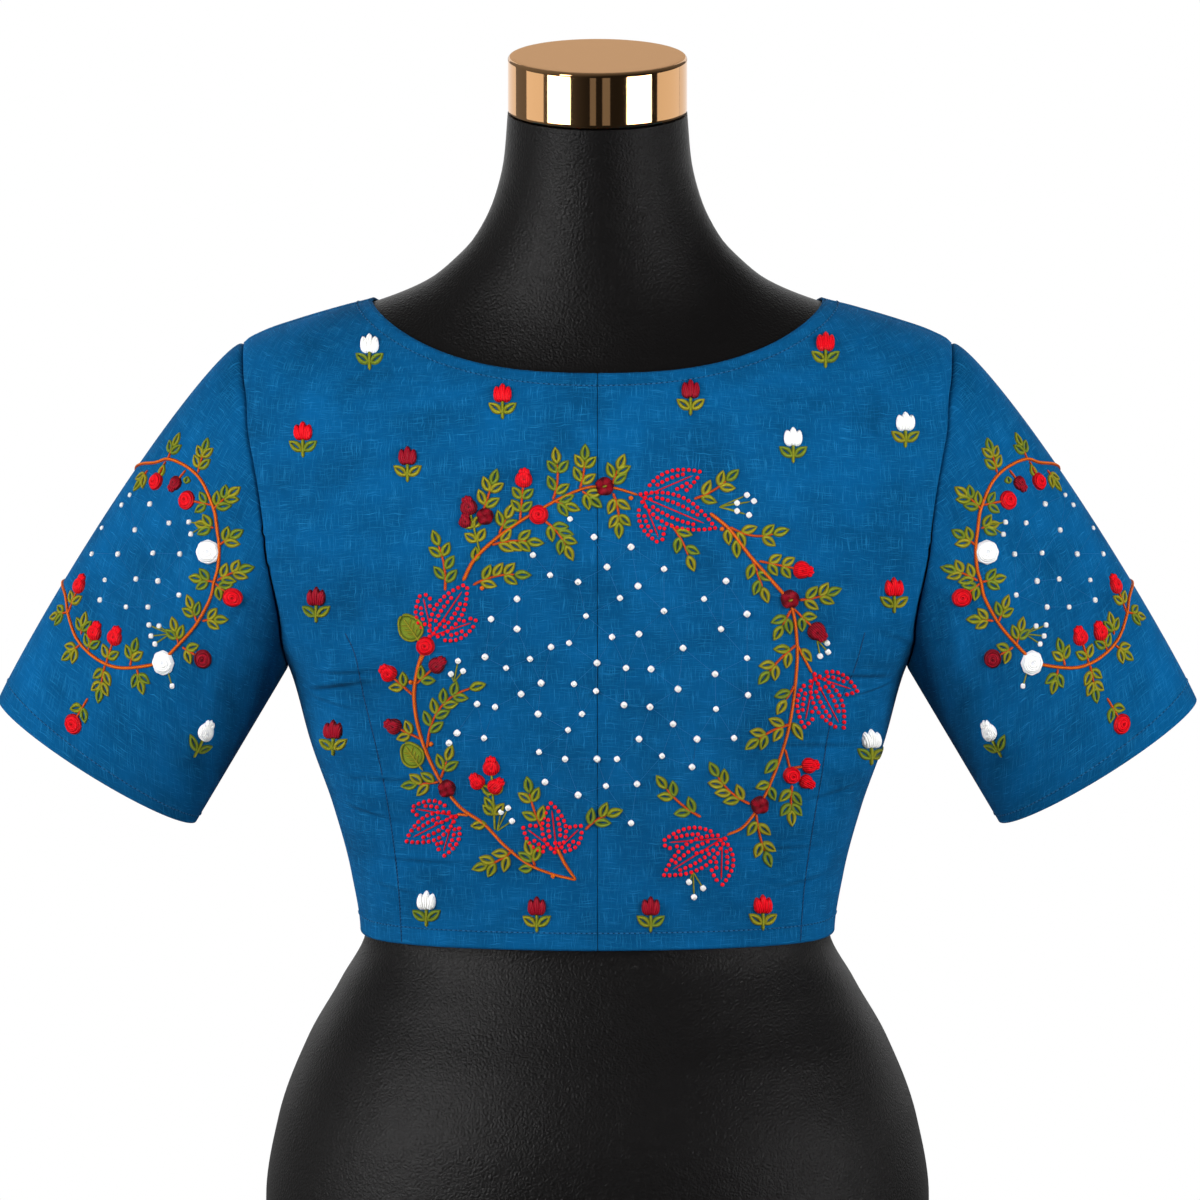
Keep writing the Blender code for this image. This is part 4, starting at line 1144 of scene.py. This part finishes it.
def sprig(parts, number, start, tip, bend, left, right, leaf_length=LEAF_LENGTH, thread="rust"):
    """A branch with leaves on both sides and one at its end. It bends left by a share of its length."""
    chord = tip - start
    aside = np.array([-chord[1], chord[0]])
    middle = (start + tip) / 2 + aside * bend * 2
    stem_share = max(1 - leaf_length * 0.92 / np.linalg.norm(chord), 0.25)

    def at(t):
        return start * (1 - t) ** 2 + middle * 2 * t * (1 - t) + tip * t**2

    def way(t):
        return angle_of((middle - start) * (1 - t) + (tip - middle) * t)

    stem = np.array([at(t) for t in np.linspace(0, stem_share, 7)])
    rope(parts, thread, along_curve(stem), BRANCH_WIDTH, taper=0.25)
    leaf(parts, LEAF_THREADS[number % 6], at(stem_share * 0.98), way(stem_share), leaf_length)
    for hand, count, first in ((1, left, 0.24), (-1, right, 0.17)):
        for k in range(count):
            share = k / (count - 1) if count > 1 else 0.45
            t = stem_share * (first + (0.74 - first) * share)
            thread_now = LEAF_THREADS[(number + 2 * k + hand) % 6]
            shorter = leaf_length * (1.0 - 0.10 * k / max(count, 1))
            leaf(parts, thread_now, at(t), way(t) + hand * LEAF_SPREAD, shorter)


DOT_RADIUS = 0.0011
DOT_PITCH = 0.0029
DOT_CLEAR = 0.0023


def dot_leaf(parts, base, tips):
    """A lobed leaf of red dots in rows, with thin veins from its base to each lobe."""
    spine = tips[0] - base
    placed = []
    for k, tip in enumerate(tips):
        fork = base + spine * (0.0 if k == 0 else 0.06)
        chord = tip - fork
        length = np.linalg.norm(chord)
        aside = np.array([-chord[1], chord[0]]) / length
        vein = fork + np.linspace(0.0, 0.86, 16)[:, None] * chord
        rope(parts, "red", vein, 0.0008)
        half_width = 0.0036 + length * 0.10
        for lane in (1.0, -1.0, 0.48, -0.48):
            t = np.linspace(0, 1, 80)
            bow = np.sin(math.pi * t**0.95) ** 0.9 * half_width * lane
            line = fork + t[:, None] * chord + bow[:, None] * aside
            run = run_along(line)
            for far in np.arange(DOT_PITCH / 2, run[-1], DOT_PITCH):
                spot = points_at(far, run, line)
                if all(np.linalg.norm(spot - other) > DOT_CLEAR for other in placed):
                    placed.append(spot)
    for spot in placed:
        dome(parts, "scarlet", spot, 0.0, round_edge(DOT_RADIUS), 0.0010, "rays", sides=10)


def flower_on_stem(parts, number, where, flower):
    """A flower, and its stem with a pair of leaves where it has one."""
    centre = where((flower.px, flower.py))
    thread, kind, radius = flower.thread, flower.kind, flower.radius
    if flower.from_px:
        start = where((flower.from_px, flower.from_py))
        chord = centre - start
        way = angle_of(chord)
        end = centre - unit(chord) * radius * 0.8
        rope(parts, flower.stalk, along_curve([start, (start + end) / 2, end]), STALK_WIDTH)
        if flower.leaves:
            long = np.linalg.norm(chord)
            pairs = (0.25,) if long < SHORT_STEM else (0.45,) if long < MIDDLE_STEM else (0.26, 0.62)
            for share in pairs:
                for hand in (1, -1):
                    at = start + (end - start) * share
                    leaf(parts, LEAF_THREADS[(number + hand) % 6], at, way + hand * 0.75, LEAF_LENGTH * 0.88)
    else:
        ahead = where((flower.px, flower.py - 4.0)) - centre
        way = angle_of(ahead)
    FLOWERS[kind](parts, thread, centre, way, radius)


def lay_threads(name, parts, ground):
    """One piece from all its stitched forms, set on the cloth's surface."""
    names = sorted({part[0] for part in parts})
    points, faces, uvs, threads = [], [], [], []
    start = 0
    for thread, spots, heights, uv in parts:
        rows, columns = heights.shape
        points.append(np.concatenate([spots.reshape(-1, 2), heights.reshape(-1, 1)], axis=1))
        quads = grid_faces(rows, columns, start)
        faces.append(quads)
        threads.append(np.full(len(quads), names.index(thread)))
        uvs.append(uv.reshape(-1, 2))
        start += rows * columns
    points, faces = np.concatenate(points), np.concatenate(faces)
    u, v = settle(ground, points[:, :2])
    outward = unit(read(ground.normals, u, v))
    placed = read(ground.places, u, v) + outward * points[:, 2:]
    a, b, c, d = (placed[faces[:, k]] for k in range(4))
    facing_out = np.cross(b - a, d - a) + np.cross(d - c, b - c)
    backwards = np.sum(facing_out * outward[faces[:, 0]], axis=1) < 0
    faces[backwards] = faces[backwards][:, ::-1]
    maps = np.concatenate(uvs)
    piece = new_piece(name, placed, faces, THREADS[names[0]], maps, uv_name="thread", oriented=True)
    for thread in names[1:]:
        piece.data.materials.append(THREADS[thread])
    piece.data.polygons.foreach_set("material_index", np.concatenate(threads).astype(np.int32))
    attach(piece, "root")
    return piece


# The back's wreath: a corded vine that is open at the bottom, with leafy branches, berries and buds in wool,
# and leaves of red dots. It is sewn by hand through both backs, and its places are pixels of the photo.
WREATH_VINES = [
    [(422, 654), (417, 672), (414, 696), (418, 726), (428, 756), (442, 783), (460, 807), (484, 824),
     (504, 845), (528, 864), (552, 874), (576, 880)],
    [(463, 581), (474, 560), (492, 542), (516, 524), (541, 509), (565, 496), (590, 487), (614, 488),
     (638, 495)],
    [(710, 513), (730, 530), (750, 556), (773, 582), (791, 606), (797, 642), (796, 677), (790, 722),
     (779, 761), (762, 801), (744, 826), (727, 835)],
    [(557, 848), (565, 864), (576, 880)],
]
VINE_STEMS = [(797, 645, 812, 673), (469, 815, 457, 814), (418, 668, 430, 639)]
VINE_KNOBS = [(411, 682), (722, 529), (431, 744), (631, 498), (482, 588), (553, 876)]
Sprig = namedtuple("Sprig", "px py tip_px tip_py bend left right", defaults=(0.0, 1, 1))
WREATH_SPRIGS = [
    Sprig(445, 591, 431, 530, -0.08, 2, 3),
    Sprig(483, 512, 497, 469, 0.0, 2, 2),
    Sprig(499, 534, 513, 504),
    Sprig(492, 545, 544, 545, 0.08, 2, 3),
    Sprig(553, 500, 553, 447, -0.09, 2, 2),
    Sprig(580, 489, 584, 444, -0.05, 2, 2),
    Sprig(553, 501, 579, 512, 0.05, 1, 1),
    Sprig(582, 491, 600, 509, 0.05, 1, 1),
    Sprig(612, 487, 626, 455, 0.05, 1, 2),
    Sprig(613, 493, 617, 539, 0.08, 2, 2),
    Sprig(545, 521, 571, 562, 0.10, 3, 2),
    Sprig(473, 585, 532, 577, 0.10, 3, 2),
    Sprig(427, 748, 491, 685, 0.22, 4, 4),
    Sprig(439, 782, 401, 786, 0.0, 1, 2),
    Sprig(441, 778, 452, 745),
    Sprig(513, 850, 471, 867, 0.10, 2, 2),
    Sprig(535, 866, 526, 840),
    Sprig(542, 828, 528, 776, 0.06, 2, 2),
    Sprig(585, 830, 624, 813, 0.12, 2, 1),
    Sprig(694, 499, 738, 468, -0.08, 2, 2),
    Sprig(670, 523, 693, 572, 0.06, 2, 1),
    Sprig(730, 527, 790, 526, -0.16, 2, 2),
    Sprig(752, 558, 768, 603, 0.0, 1, 2),
    Sprig(799, 600, 841, 587, -0.06, 2, 2),
    Sprig(791, 610, 774, 640),
    Sprig(796, 645, 759, 685, -0.04, 2, 2),
    Sprig(795, 685, 777, 714, 0.0, 0, 1),
    Sprig(791, 724, 746, 751, -0.08, 2, 2),
    Sprig(792, 785, 793, 826, -0.04, 2, 2),
    Sprig(750, 804, 711, 760, 0.12, 3, 2),
    Sprig(701, 817, 657, 774, 0.08, 2, 2),
    Sprig(756, 814, 772, 867, -0.05, 2, 2),
]
LoneLeaf = namedtuple("LoneLeaf", "px py tip_px tip_py")
WREATH_LEAVES = [
    LoneLeaf(475, 562, 476, 546),
    LoneLeaf(533, 868, 518, 869),
    LoneLeaf(727, 528, 729, 546),
    LoneLeaf(736, 539, 737, 559),
    LoneLeaf(792, 722, 803, 741),
    LoneLeaf(778, 759, 764, 774),
    LoneLeaf(770, 783, 755, 788),
    LoneLeaf(769, 786, 775, 801),
    LoneLeaf(801, 648, 812, 662),
    LoneLeaf(495, 812, 484, 796),
    LoneLeaf(487, 824, 470, 826),
]
Flower = namedtuple(
    "Flower", "kind thread px py radius from_px from_py stalk leaves", defaults=(0, 0, "rust", 0)
)
WREATH_FLOWERS = [
    Flower("ball", "crimson", 604.7, 486.4, 0.0050),
    Flower("disc", "red", 538.5, 514.7, 0.0052),
    Flower("bud", "red", 523.7, 478.3, 0.0050, 520, 521, "rust", 1),
    Flower("bud", "crimson", 468.4, 506.1, 0.0050, 480, 552, "olive", 1),
    Flower("ball", "crimson", 484.9, 516.4, 0.0046),
    Flower("bud", "crimson", 465.2, 521.0, 0.0038),
    Flower("disc", "red", 425.4, 646.1, 0.0050),
    Flower("bud", "red", 387.9, 672.7, 0.0048, 413, 695, "rust", 1),
    Flower("bud", "crimson", 437.5, 664.6, 0.0048, 416, 684, "rust", 1),
    Flower("bud", "crimson", 393.2, 725.9, 0.0046, 421, 739, "rust", 1),
    Flower("ball", "crimson", 446.8, 788.4, 0.0047),
    Flower("bud", "red", 491.1, 766.4, 0.0049, 495, 830, "olive", 1),
    Flower("bud", "red", 476.8, 781.3, 0.0044, 489, 797, "olive", 0),
    Flower("bud", "red", 495.9, 785.7, 0.0046, 489, 792, "olive", 0),
    Flower("ball", "crimson", 759.7, 805.1, 0.0048),
    Flower("disc", "red", 791.7, 775.3, 0.0046, 785, 749),
    Flower("bud", "red", 810.0, 765.3, 0.0045, 792, 768),
    Flower("bud", "red", 806.7, 781.9, 0.0041, 796, 776),
    Flower("ball", "crimson", 789.9, 599.2, 0.0050),
    Flower("bud", "red", 802.9, 570.1, 0.0052, 759, 561, "rust", 1),
    Flower("bud", "crimson", 817.5, 632.1, 0.0054, 793, 608, "rust", 1),
]
DotLeaf = namedtuple("DotLeaf", "px py tip_px tip_py left_px left_py right_px right_py")
DOT_LEAVES = [
    DotLeaf(430, 639, 467, 584, 422, 592, 477, 621),
    DotLeaf(638, 495, 715, 528, 701, 472, 661, 544),
    DotLeaf(812, 673, 843, 731, 857, 691, 804, 727),
    DotLeaf(457, 814, 406, 841, 442, 857, 411, 808),
    DotLeaf(557, 854, 551, 803, 523, 826, 582, 826),
    DotLeaf(726, 836, 664, 875, 721, 886, 661, 843),
]
RoundLeaf = namedtuple("RoundLeaf", "px py radius")
ROUND_LEAVES = [RoundLeaf(411, 629, 0.0066), RoundLeaf(413, 756, 0.0062)]
WhiteSprig = namedtuple("WhiteSprig", "px py dots")
WHITE_SPRIGS = [
    WhiteSprig(454, 682, [(458, 661), (451, 674), (463, 671)]),
    WhiteSprig(497, 831, [(501, 812), (508, 808), (512, 821)]),
    WhiteSprig(719, 507, [(737, 503), (737, 511), (747, 495), (754, 501), (749, 515)]),
    WhiteSprig(817, 640, [(827, 643), (828, 652), (820, 656)]),
    WhiteSprig(693, 872, [(689, 882), (703, 888), (694, 897)]),
]
BERRY_BARS = [(604.7, 486.4), (789.9, 599.2)]
KNOT_RADIUS = 0.0017
BACK_KNOTS = [
    (570, 519), (594, 537), (631, 547), (533, 555), (607, 567), (550, 575), (578, 582), (638, 586),
    (620, 598), (517, 599), (586, 616), (491, 619), (517, 629), (612, 637), (639, 634), (569, 643),
    (551, 647), (485, 657), (530, 659), (597, 663), (506, 668), (626, 668), (651, 669), (664, 569),
    (726, 581), (704, 599), (664, 611), (747, 614), (721, 629), (683, 648), (747, 658), (715, 674),
    (678, 689), (748, 695), (650, 707), (716, 709), (673, 724), (697, 739), (734, 738), (639, 739),
    (662, 756), (692, 767), (541, 683), (574, 684), (521, 694), (596, 691), (495, 707), (538, 714),
    (582, 714), (624, 705), (568, 730), (477, 704), (457, 733), (484, 738), (449, 743), (539, 752),
    (565, 759), (597, 759), (617, 759), (545, 782), (606, 786), (637, 784), (578, 795), (631, 823),
]
TRACE_WIDTH = 0.00026


def knots_and_traces(parts, spots, radius):
    """White knots, and the faint straight threads that run between neighbours."""
    spots = np.asarray(spots)
    drawn = set()
    for k, spot in enumerate(spots):
        knot(parts, spot, radius * (0.92 + 0.16 * ((k * 7) % 5) / 4))
        near = np.argsort(np.linalg.norm(spots - spot, axis=1))[1:4]
        for other in near:
            pair = (min(k, int(other)), max(k, int(other)))
            if pair not in drawn:
                drawn.add(pair)
                line = spot + np.linspace(0.02, 0.98, 14)[:, None] * (spots[other] - spot)
                rope(parts, "blue", line, TRACE_WIDTH, 0.35)


def white_sprig(parts, where, tuft, radius):
    """A tuft of white knots, each on a short olive stalk."""
    root = where((tuft.px, tuft.py))
    for dot in tuft.dots:
        spot = where(dot)
        rope(parts, "olive", root + np.linspace(0, 0.9, 12)[:, None] * (spot - root), 0.0009)
        knot(parts, spot, radius)


def wreath(vines, sprigs, leaves, flowers, where, leaf_length, vine_width):
    """The parts of one wreath, in two lots: its corded lines and leaves, and its padded flowers."""
    lines, heads = [], []
    for vine in vines:
        rope(lines, "orange", along_curve(where(vine)), vine_width, taper=VINE_TAPER)
    for number, row in enumerate(sprigs):
        start, tip = where((row.px, row.py)), where((row.tip_px, row.tip_py))
        sprig(lines, number, start, tip, row.bend, row.left, row.right, leaf_length)
    for number, row in enumerate(leaves):
        base, tip = where((row.px, row.py)), where((row.tip_px, row.tip_py))
        leaf(lines, LEAF_THREADS[number % 6], base, angle_of(tip - base), np.linalg.norm(tip - base))
    for number, row in enumerate(flowers):
        flower_on_stem(heads, number, where, row)
    return lines, heads


lines, heads = wreath(
    WREATH_VINES, WREATH_SPRIGS, WREATH_LEAVES, WREATH_FLOWERS, from_photo, LEAF_LENGTH, VINE_WIDTH
)
for px, py, tip_px, tip_py in VINE_STEMS:
    stem = from_photo([(px, py), (tip_px, tip_py)])
    rope(lines, "orange", along_curve(stem), BRANCH_WIDTH)
for knob in VINE_KNOBS:
    dome(lines, "orange", from_photo(knob), 0.0, round_edge(0.0013), 0.0012, "rays", sides=10)
for spot in BERRY_BARS:
    bar = from_photo(spot) + np.linspace(-0.0012, 0.0012, 6)[:, None] * heading_of(0.3)
    rope(heads, "straw", bar, 0.0011, 0.6, lift=PAD_HEIGHT)
for row in ROUND_LEAVES:
    round_leaf(lines, from_photo((row.px, row.py)), math.radians(125), row.radius)
dots = []
for row in DOT_LEAVES:
    tips = [(row.tip_px, row.tip_py), (row.left_px, row.left_py), (row.right_px, row.right_py)]
    dot_leaf(dots, from_photo((row.px, row.py)), [from_photo(tip) for tip in tips])
knots = []
knots_and_traces(knots, from_photo(BACK_KNOTS), KNOT_RADIUS)
for tuft in WHITE_SPRIGS:
    white_sprig(knots, from_photo, tuft, KNOT_RADIUS * 0.95)
lay_threads("wreath_vines_and_leaves", lines, back_ground)
lay_threads("wreath_flowers", heads, back_ground)
lay_threads("wreath_dot_leaves", dots, back_ground)
lay_threads("wreath_knots", knots, back_ground)

# Single tulips strewn over the rest of the back, each on a short stem with two leaves, in the wreath's wools.
# Their places are in metres across and up, from the middle of the photo.
Strewn = namedtuple("Strewn", "across up thread")
STREWN_TULIPS = [
    Strewn(-0.120, 0.133, "white"),
    Strewn(-0.050, 0.107, "red"),
    Strewn(-0.155, 0.087, "red"),
    Strewn(-0.100, 0.074, "crimson"),
    Strewn(-0.148, 0.000, "crimson"),
    Strewn(-0.139, -0.070, "crimson"),
    Strewn(-0.090, -0.160, "white"),
    Strewn(-0.032, -0.163, "crimson"),
    Strewn(0.028, -0.163, "crimson"),
    Strewn(0.087, -0.162, "red"),
    Strewn(0.144, -0.075, "white"),
    Strewn(0.156, 0.005, "red"),
    Strewn(0.103, 0.084, "white"),
    Strewn(0.162, 0.092, "white"),
    Strewn(0.120, 0.134, "red"),
    Strewn(0.049, 0.109, "crimson"),
]
TULIP_RADIUS = 0.0048
TULIP_STALK = 0.0106
TULIP_RAISE = 0.0018
TULIP_STALK_WIDTH = 0.0020


def standing_tulip(parts, number, centre, angle, thread, kind="tulip", size=1.0):
    """A flower head with a stem below it and two leaves that spread from the stem's foot."""
    down = -heading_of(angle) * size
    foot = centre + down * (TULIP_RADIUS + TULIP_STALK * 0.55)
    for hand in (1, -1):
        leaf(parts, LEAF_THREADS[(number + hand) % 6], foot, angle + hand * 0.92, LEAF_LENGTH * 0.98 * size)
    end = centre + down * (TULIP_RADIUS + TULIP_STALK * 0.85)
    rope(parts, "olive", along_curve([centre + down * TULIP_RADIUS * 0.8, foot, end]), TULIP_STALK_WIDTH)
    FLOWERS[kind](parts, thread, centre, angle, TULIP_RADIUS * size)


strewn = []
for number, row in enumerate(STREWN_TULIPS):
    standing_tulip(strewn, number, np.array([row.across, row.up + TULIP_RAISE]), math.pi / 2, row.thread)
lay_threads("strewn_tulips", strewn, back_ground)

# Waist darts: one on each back, sewn from the hem to a little above the ribs, on the cloth's inside. They
# show as thin dark lines, where the cloth dips into the seam, and that shade is painted as a low dark cord.
DARTS = [
    [(345, 633), (355, 655), (364, 698), (377, 751), (389, 812), (398, 882), (402, 950)],
    [(865, 632), (853, 673), (831, 722), (821, 780), (813, 826), (804, 890), (800, 950)],
]
folds = []
for dart in DARTS:
    # Each dart's shade is painted as a low dark blue cord.
    rope(folds, "dusk", along_curve(from_photo(dart)), 0.0007, 0.20)
lay_threads("back_dart_shade_lines", folds, back_ground)

# Each sleeve has a smaller wreath, which runs round the sleeve's top to its front. The photo shows its back
# half, on the left sleeve, and the right sleeve mirrors it. The hidden half is completed in the same way.
SLEEVE_VINE = [
    (136, 470), (152, 463), (168, 459), (184, 465), (197, 475), (206, 489), (214, 510),
    (217, 529), (219, 545), (218, 567), (214, 582), (210, 599), (197, 623), (181, 642), (163, 660),
    (151, 665), (124, 668), (106, 664), (89, 653), (76, 637), (69, 617), (65, 593), (66, 580),
]
SLEEVE_SPRIGS = [
    Sprig(168, 459, 180, 433),
    Sprig(198, 473, 208, 438, 0.0, 2, 2),
    Sprig(213, 510, 241, 488, 0.04, 2, 2),
    Sprig(148, 470, 134, 491),
    Sprig(214, 528, 195, 523),
    Sprig(219, 545, 243, 530),
    Sprig(214, 582, 189, 577),
    Sprig(217, 581, 255, 568, 0.05, 2, 2),
    Sprig(197, 622, 187, 595),
    Sprig(202, 621, 228, 621, 0.05, 1, 1),
    Sprig(179, 645, 172, 617),
    Sprig(130, 666, 137, 638),
    Sprig(137, 669, 143, 694),
    Sprig(105, 665, 98, 703, 0.0, 2, 2),
    Sprig(81, 635, 86, 612),
    Sprig(80, 645, 62, 660),
    Sprig(68, 612, 50, 618),
]
SLEEVE_LEAVES = [LoneLeaf(159, 478, 165, 464), LoneLeaf(186, 484, 188, 476)]
SLEEVE_FLOWERS = [
    Flower("disc", "red", 186.6, 500.1, 0.0052, 212, 505, "rust", 1),
    Flower("bud", "crimson", 175.0, 484.0, 0.0044, 186, 470),
    Flower("disc", "red", 156.0, 481.5, 0.0048, 166, 461),
    Flower("rosette", "white", 207.8, 551.9, 0.0064),
    Flower("disc", "red", 232.5, 597.5, 0.0052, 215, 583, "rust", 1),
    Flower("disc", "crimson", 202.9, 658.9, 0.0052, 182, 647, "rust", 1),
    Flower("rosette", "white", 163.0, 662.9, 0.0064),
    Flower("bud", "red", 114.9, 636.1, 0.0050, 106, 664, "rust", 1),
    Flower("bud", "red", 94.9, 631.3, 0.0050, 88, 651, "rust", 1),
    Flower("bud", "red", 79.8, 584.3, 0.0052, 68, 614, "rust", 1),
    Flower("disc", "red", 73.0, 724.1, 0.0052, 88, 698, "rust", 1),
]
SLEEVE_WHITE_SPRIGS = [
    WhiteSprig(170, 634, [(149, 625), (159, 626), (151, 636), (155, 644)]),
    WhiteSprig(206, 525, [(189, 522), (191, 534)]),
    WhiteSprig(168, 672, [(172, 686)]),
]
SLEEVE_KNOTS = [
    (130, 495), (122, 505), (150, 504), (169, 523), (135, 530), (102, 528), (92, 554), (118, 554),
    (153, 553), (180, 554), (105, 580), (136, 579), (158, 581), (179, 595), (100, 600), (126, 607),
    (148, 607),
]
LOWER_TULIP = [(206.6, 731.1), (194.0, 757.0)]
SLEEVE_KNOT_RADIUS = 0.0015
FRONT_REACH = 0.052
HIDDEN_STEPS = 9
SLEEVE_LEAF = LEAF_LENGTH * 0.92
FRONT_RADIUS = 0.0050
FRONT_BRANCH = 0.020
KNOT_MARGIN = 0.009
FrontFlower = namedtuple("FrontFlower", "kind thread turn along")
FRONT_FLOWERS = [
    FrontFlower("disc", "red", -62, 0.30),
    FrontFlower("bud", "crimson", -74, 0.47),
    FrontFlower("disc", "red", -58, 0.66),
]

vine = on_sleeve(SLEEVE_VINE)
middle = (vine[0] + vine[-1]) / 2
half_chord = (vine[-1] - vine[0]) / 2
toward_front = np.array([-FRONT_REACH, 0.0])
hidden = [
    middle + half_chord * math.cos(math.pi * t) + toward_front * math.sin(math.pi * t)
    for t in np.linspace(0.10, 0.90, HIDDEN_STEPS)
]
ring_path = np.concatenate([vine, hidden, vine[:1]])
lines, heads = wreath([], SLEEVE_SPRIGS, SLEEVE_LEAVES, SLEEVE_FLOWERS, on_sleeve, SLEEVE_LEAF, VINE_WIDTH)
rope(lines, "orange", along_curve(ring_path), VINE_WIDTH * 0.85)
for k, spot in enumerate(hidden):
    outward_way = angle_of(spot - middle) + (math.pi if k % 2 else 0) + 0.35
    tip = spot + heading_of(outward_way) * FRONT_BRANCH
    sprig(lines, k, spot, tip, 0.05, 1 + k % 2, 1 + k % 2, SLEEVE_LEAF)
for row in FRONT_FLOWERS:
    column = round((row.turn + 180) / 360 * SLEEVE_GROUND_COLUMNS)
    spot = left.layout[round(row.along * SLEEVE_GROUND_ROWS), column]
    FLOWERS[row.kind](heads, row.thread, spot, angle_of(spot - middle), FRONT_RADIUS)
knots = []
spots = on_sleeve(SLEEVE_KNOTS)
beyond = np.stack([middle[0] - (spots[:, 0] - middle[0]) * 0.38, spots[:, 1]], axis=-1)
reach = np.array([FRONT_REACH - KNOT_MARGIN, np.linalg.norm(half_chord) - KNOT_MARGIN])
inside_ring = ((beyond - middle) / reach) ** 2
beyond = beyond[(inside_ring.sum(axis=1) < 1) & (beyond[:, 0] < middle[0] - 0.008)]
spots = np.concatenate([spots, beyond[::2]])
knots_and_traces(knots, spots, SLEEVE_KNOT_RADIUS)
for tuft in SLEEVE_WHITE_SPRIGS:
    white_sprig(knots, on_sleeve, tuft, SLEEVE_KNOT_RADIUS)
head, foot = on_sleeve(LOWER_TULIP)
standing_tulip(heads, 0, head, angle_of(head - foot), "white", "bud", 1.2)
for side, word in ((1, "right"), (-1, "left")):
    lay_threads(f"sleeve_{word}_vine_and_leaves", lines, sleeve_grounds[side])
    lay_threads(f"sleeve_{word}_flowers", heads, sleeve_grounds[side])
    lay_threads(f"sleeve_{word}_knots", knots, sleeve_grounds[side])

# Topstitching in blue thread runs round the neck, the body hem and the sleeve hems, 2.8 mm to a stitch. It
# holds the turned edges of the cloth, and each stitch is drawn as a small padded dash.
STITCH_PITCH = 0.0028
STITCH_LENGTH = 0.0019
STITCH_WIDTH = 0.0009
STITCH_HEIGHT = 0.0005
NECK_STITCH = 0.0085
HEM_STITCH = 0.0100
EDGE_ANGLE = 0.004
SLEEVE_LENGTH = 0.205
HALF_POINTS = 220
CUFF_POINTS = 400
STITCH_RAILS = np.array([[-1.0, -0.3], [-0.6, 0.8], [0.6, 0.8], [1.0, -0.3]])
STITCH_PLUMP = np.array([0.25, 0.9, 1.0, 0.9, 0.25])


def inset_levels(angles, edge, inward, distance):
    """The levels that lie a set distance from the neck or hem edge, at each angle."""
    rises = edge + inward * np.linspace(0, 0.045, 90)
    run = run_along(torso(angles[None, :], rises[:, None], True))
    return np.array([np.interp(distance, run[:, k], rises) for k in range(len(angles))])


def dashes(path, normals):
    """Stitches along a path, each a small padded dash."""
    run = run_along(path)
    count = int(run[-1] / STITCH_PITCH)
    starts = np.arange(count) * STITCH_PITCH
    at = starts[:, None] + np.linspace(0, STITCH_LENGTH, len(STITCH_PLUMP))
    here = points_at(at, run, path)
    ahead = points_at(at + 1e-4, run, path) - here
    out = unit(points_at(at, run, normals))
    aside = unit(np.cross(out, ahead))
    wide = STITCH_RAILS[:, 0] * STITCH_WIDTH / 2 * STITCH_PLUMP[:, None]
    tall = STITCH_RAILS[:, 1] * STITCH_HEIGHT * STITCH_PLUMP[:, None]
    points = here[:, :, None] + aside[:, :, None] * wide[..., None] + out[:, :, None] * tall[..., None]
    rows, rails = len(STITCH_PLUMP), len(STITCH_RAILS)
    faces = np.concatenate([grid_faces(rows, rails, k * rows * rails) for k in range(count)])
    # Painted shade on each stitch's sides, through the map's second number.
    ridge = np.array([0.2, 1.0, 1.0, 0.2])
    shares = np.broadcast_to(ridge, (count, rows, rails))
    uv = np.stack([np.repeat(at[:, :, None], rails, 2), shares], axis=-1)
    return points.reshape(-1, 3), faces, uv.reshape(-1, 2)


def body_line(side, edge, inward, distance, is_front):
    """A line of the body that runs a set distance from an edge, and the cloth's normals along it."""
    angles = np.linspace(math.pi / 2 - EDGE_ANGLE, EDGE_ANGLE, HALF_POINTS) * (1 if is_front else -1)
    levels = inset_levels(angles, edge, inward, distance)
    path = cloth(side, angles, levels, np.full(angles.shape, CLOTH))
    return path, cloth_normals(angles, levels) * mirror(side)


runs = []
for side in (1, -1):
    for is_front in (False, True):
        runs.append(body_line(side, NECKLINE, -1, NECK_STITCH, is_front))
        runs.append(body_line(side, HEM, 1, HEM_STITCH, is_front))
    turns = np.linspace(0, 2 * math.pi, CUFF_POINTS)
    along = np.full(turns.shape, 1 - HEM_STITCH / SLEEVE_LENGTH)
    runs.append((sleeve_outside(side, turns, along), sleeve_normals(side, turns, along)))
topstitch = [dashes(*run) for run in runs]
starts = np.cumsum([0] + [len(points) for points, _, _ in topstitch])
faces = np.concatenate([quads + start for (_, quads, _), start in zip(topstitch, starts)])
# The thread's dark edge colour is the painted shade of each stitch's sides.
sewn = new_piece(
    "topstitching",
    np.concatenate([points for points, _, _ in topstitch]),
    faces,
    thread_finish("blue topstitch thread", "16659A", "011A30", 0.0006),
    np.concatenate([uv for _, _, uv in topstitch]),
    uv_name="thread",
)
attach(sewn, "root")

# The stitches pull the cloth in, so that a narrow dark groove shows between them. Its shade is painted, as a
# low dark blue strip under the stitches.
GROOVE_WIDTH = 0.0010
GROOVE_HEIGHT = 0.00010

groove_points, groove_faces = [], []
for path, normals in runs:
    aside = unit(np.cross(normals, np.gradient(path, axis=0)))
    rails = np.array([-1, 0, 1])[None, :, None] * aside[:, None, :] * GROOVE_WIDTH / 2
    raised = np.array([-1, 1, -1])[None, :, None] * normals[:, None, :] * GROOVE_HEIGHT
    groove_faces.append(grid_faces(len(path), 3, sum(len(part) for part in groove_points)))
    groove_points.append((path[:, None, :] + rails + raised).reshape(-1, 3))
# The strip's dark blue is painted shade.
shade = finish("painted stitch groove shade", Base_Color=linear("022C4C"), Roughness=0.95)[0]
grooves = new_piece("stitch_groove_painted_shade", np.concatenate(groove_points), np.concatenate(groove_faces), shade)
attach(grooves, "root")

boxes = {"cad": cad_box, "visual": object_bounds()}
boxes = {name: [[float(value) for value in corner] for corner in box] for name, box in boxes.items()}
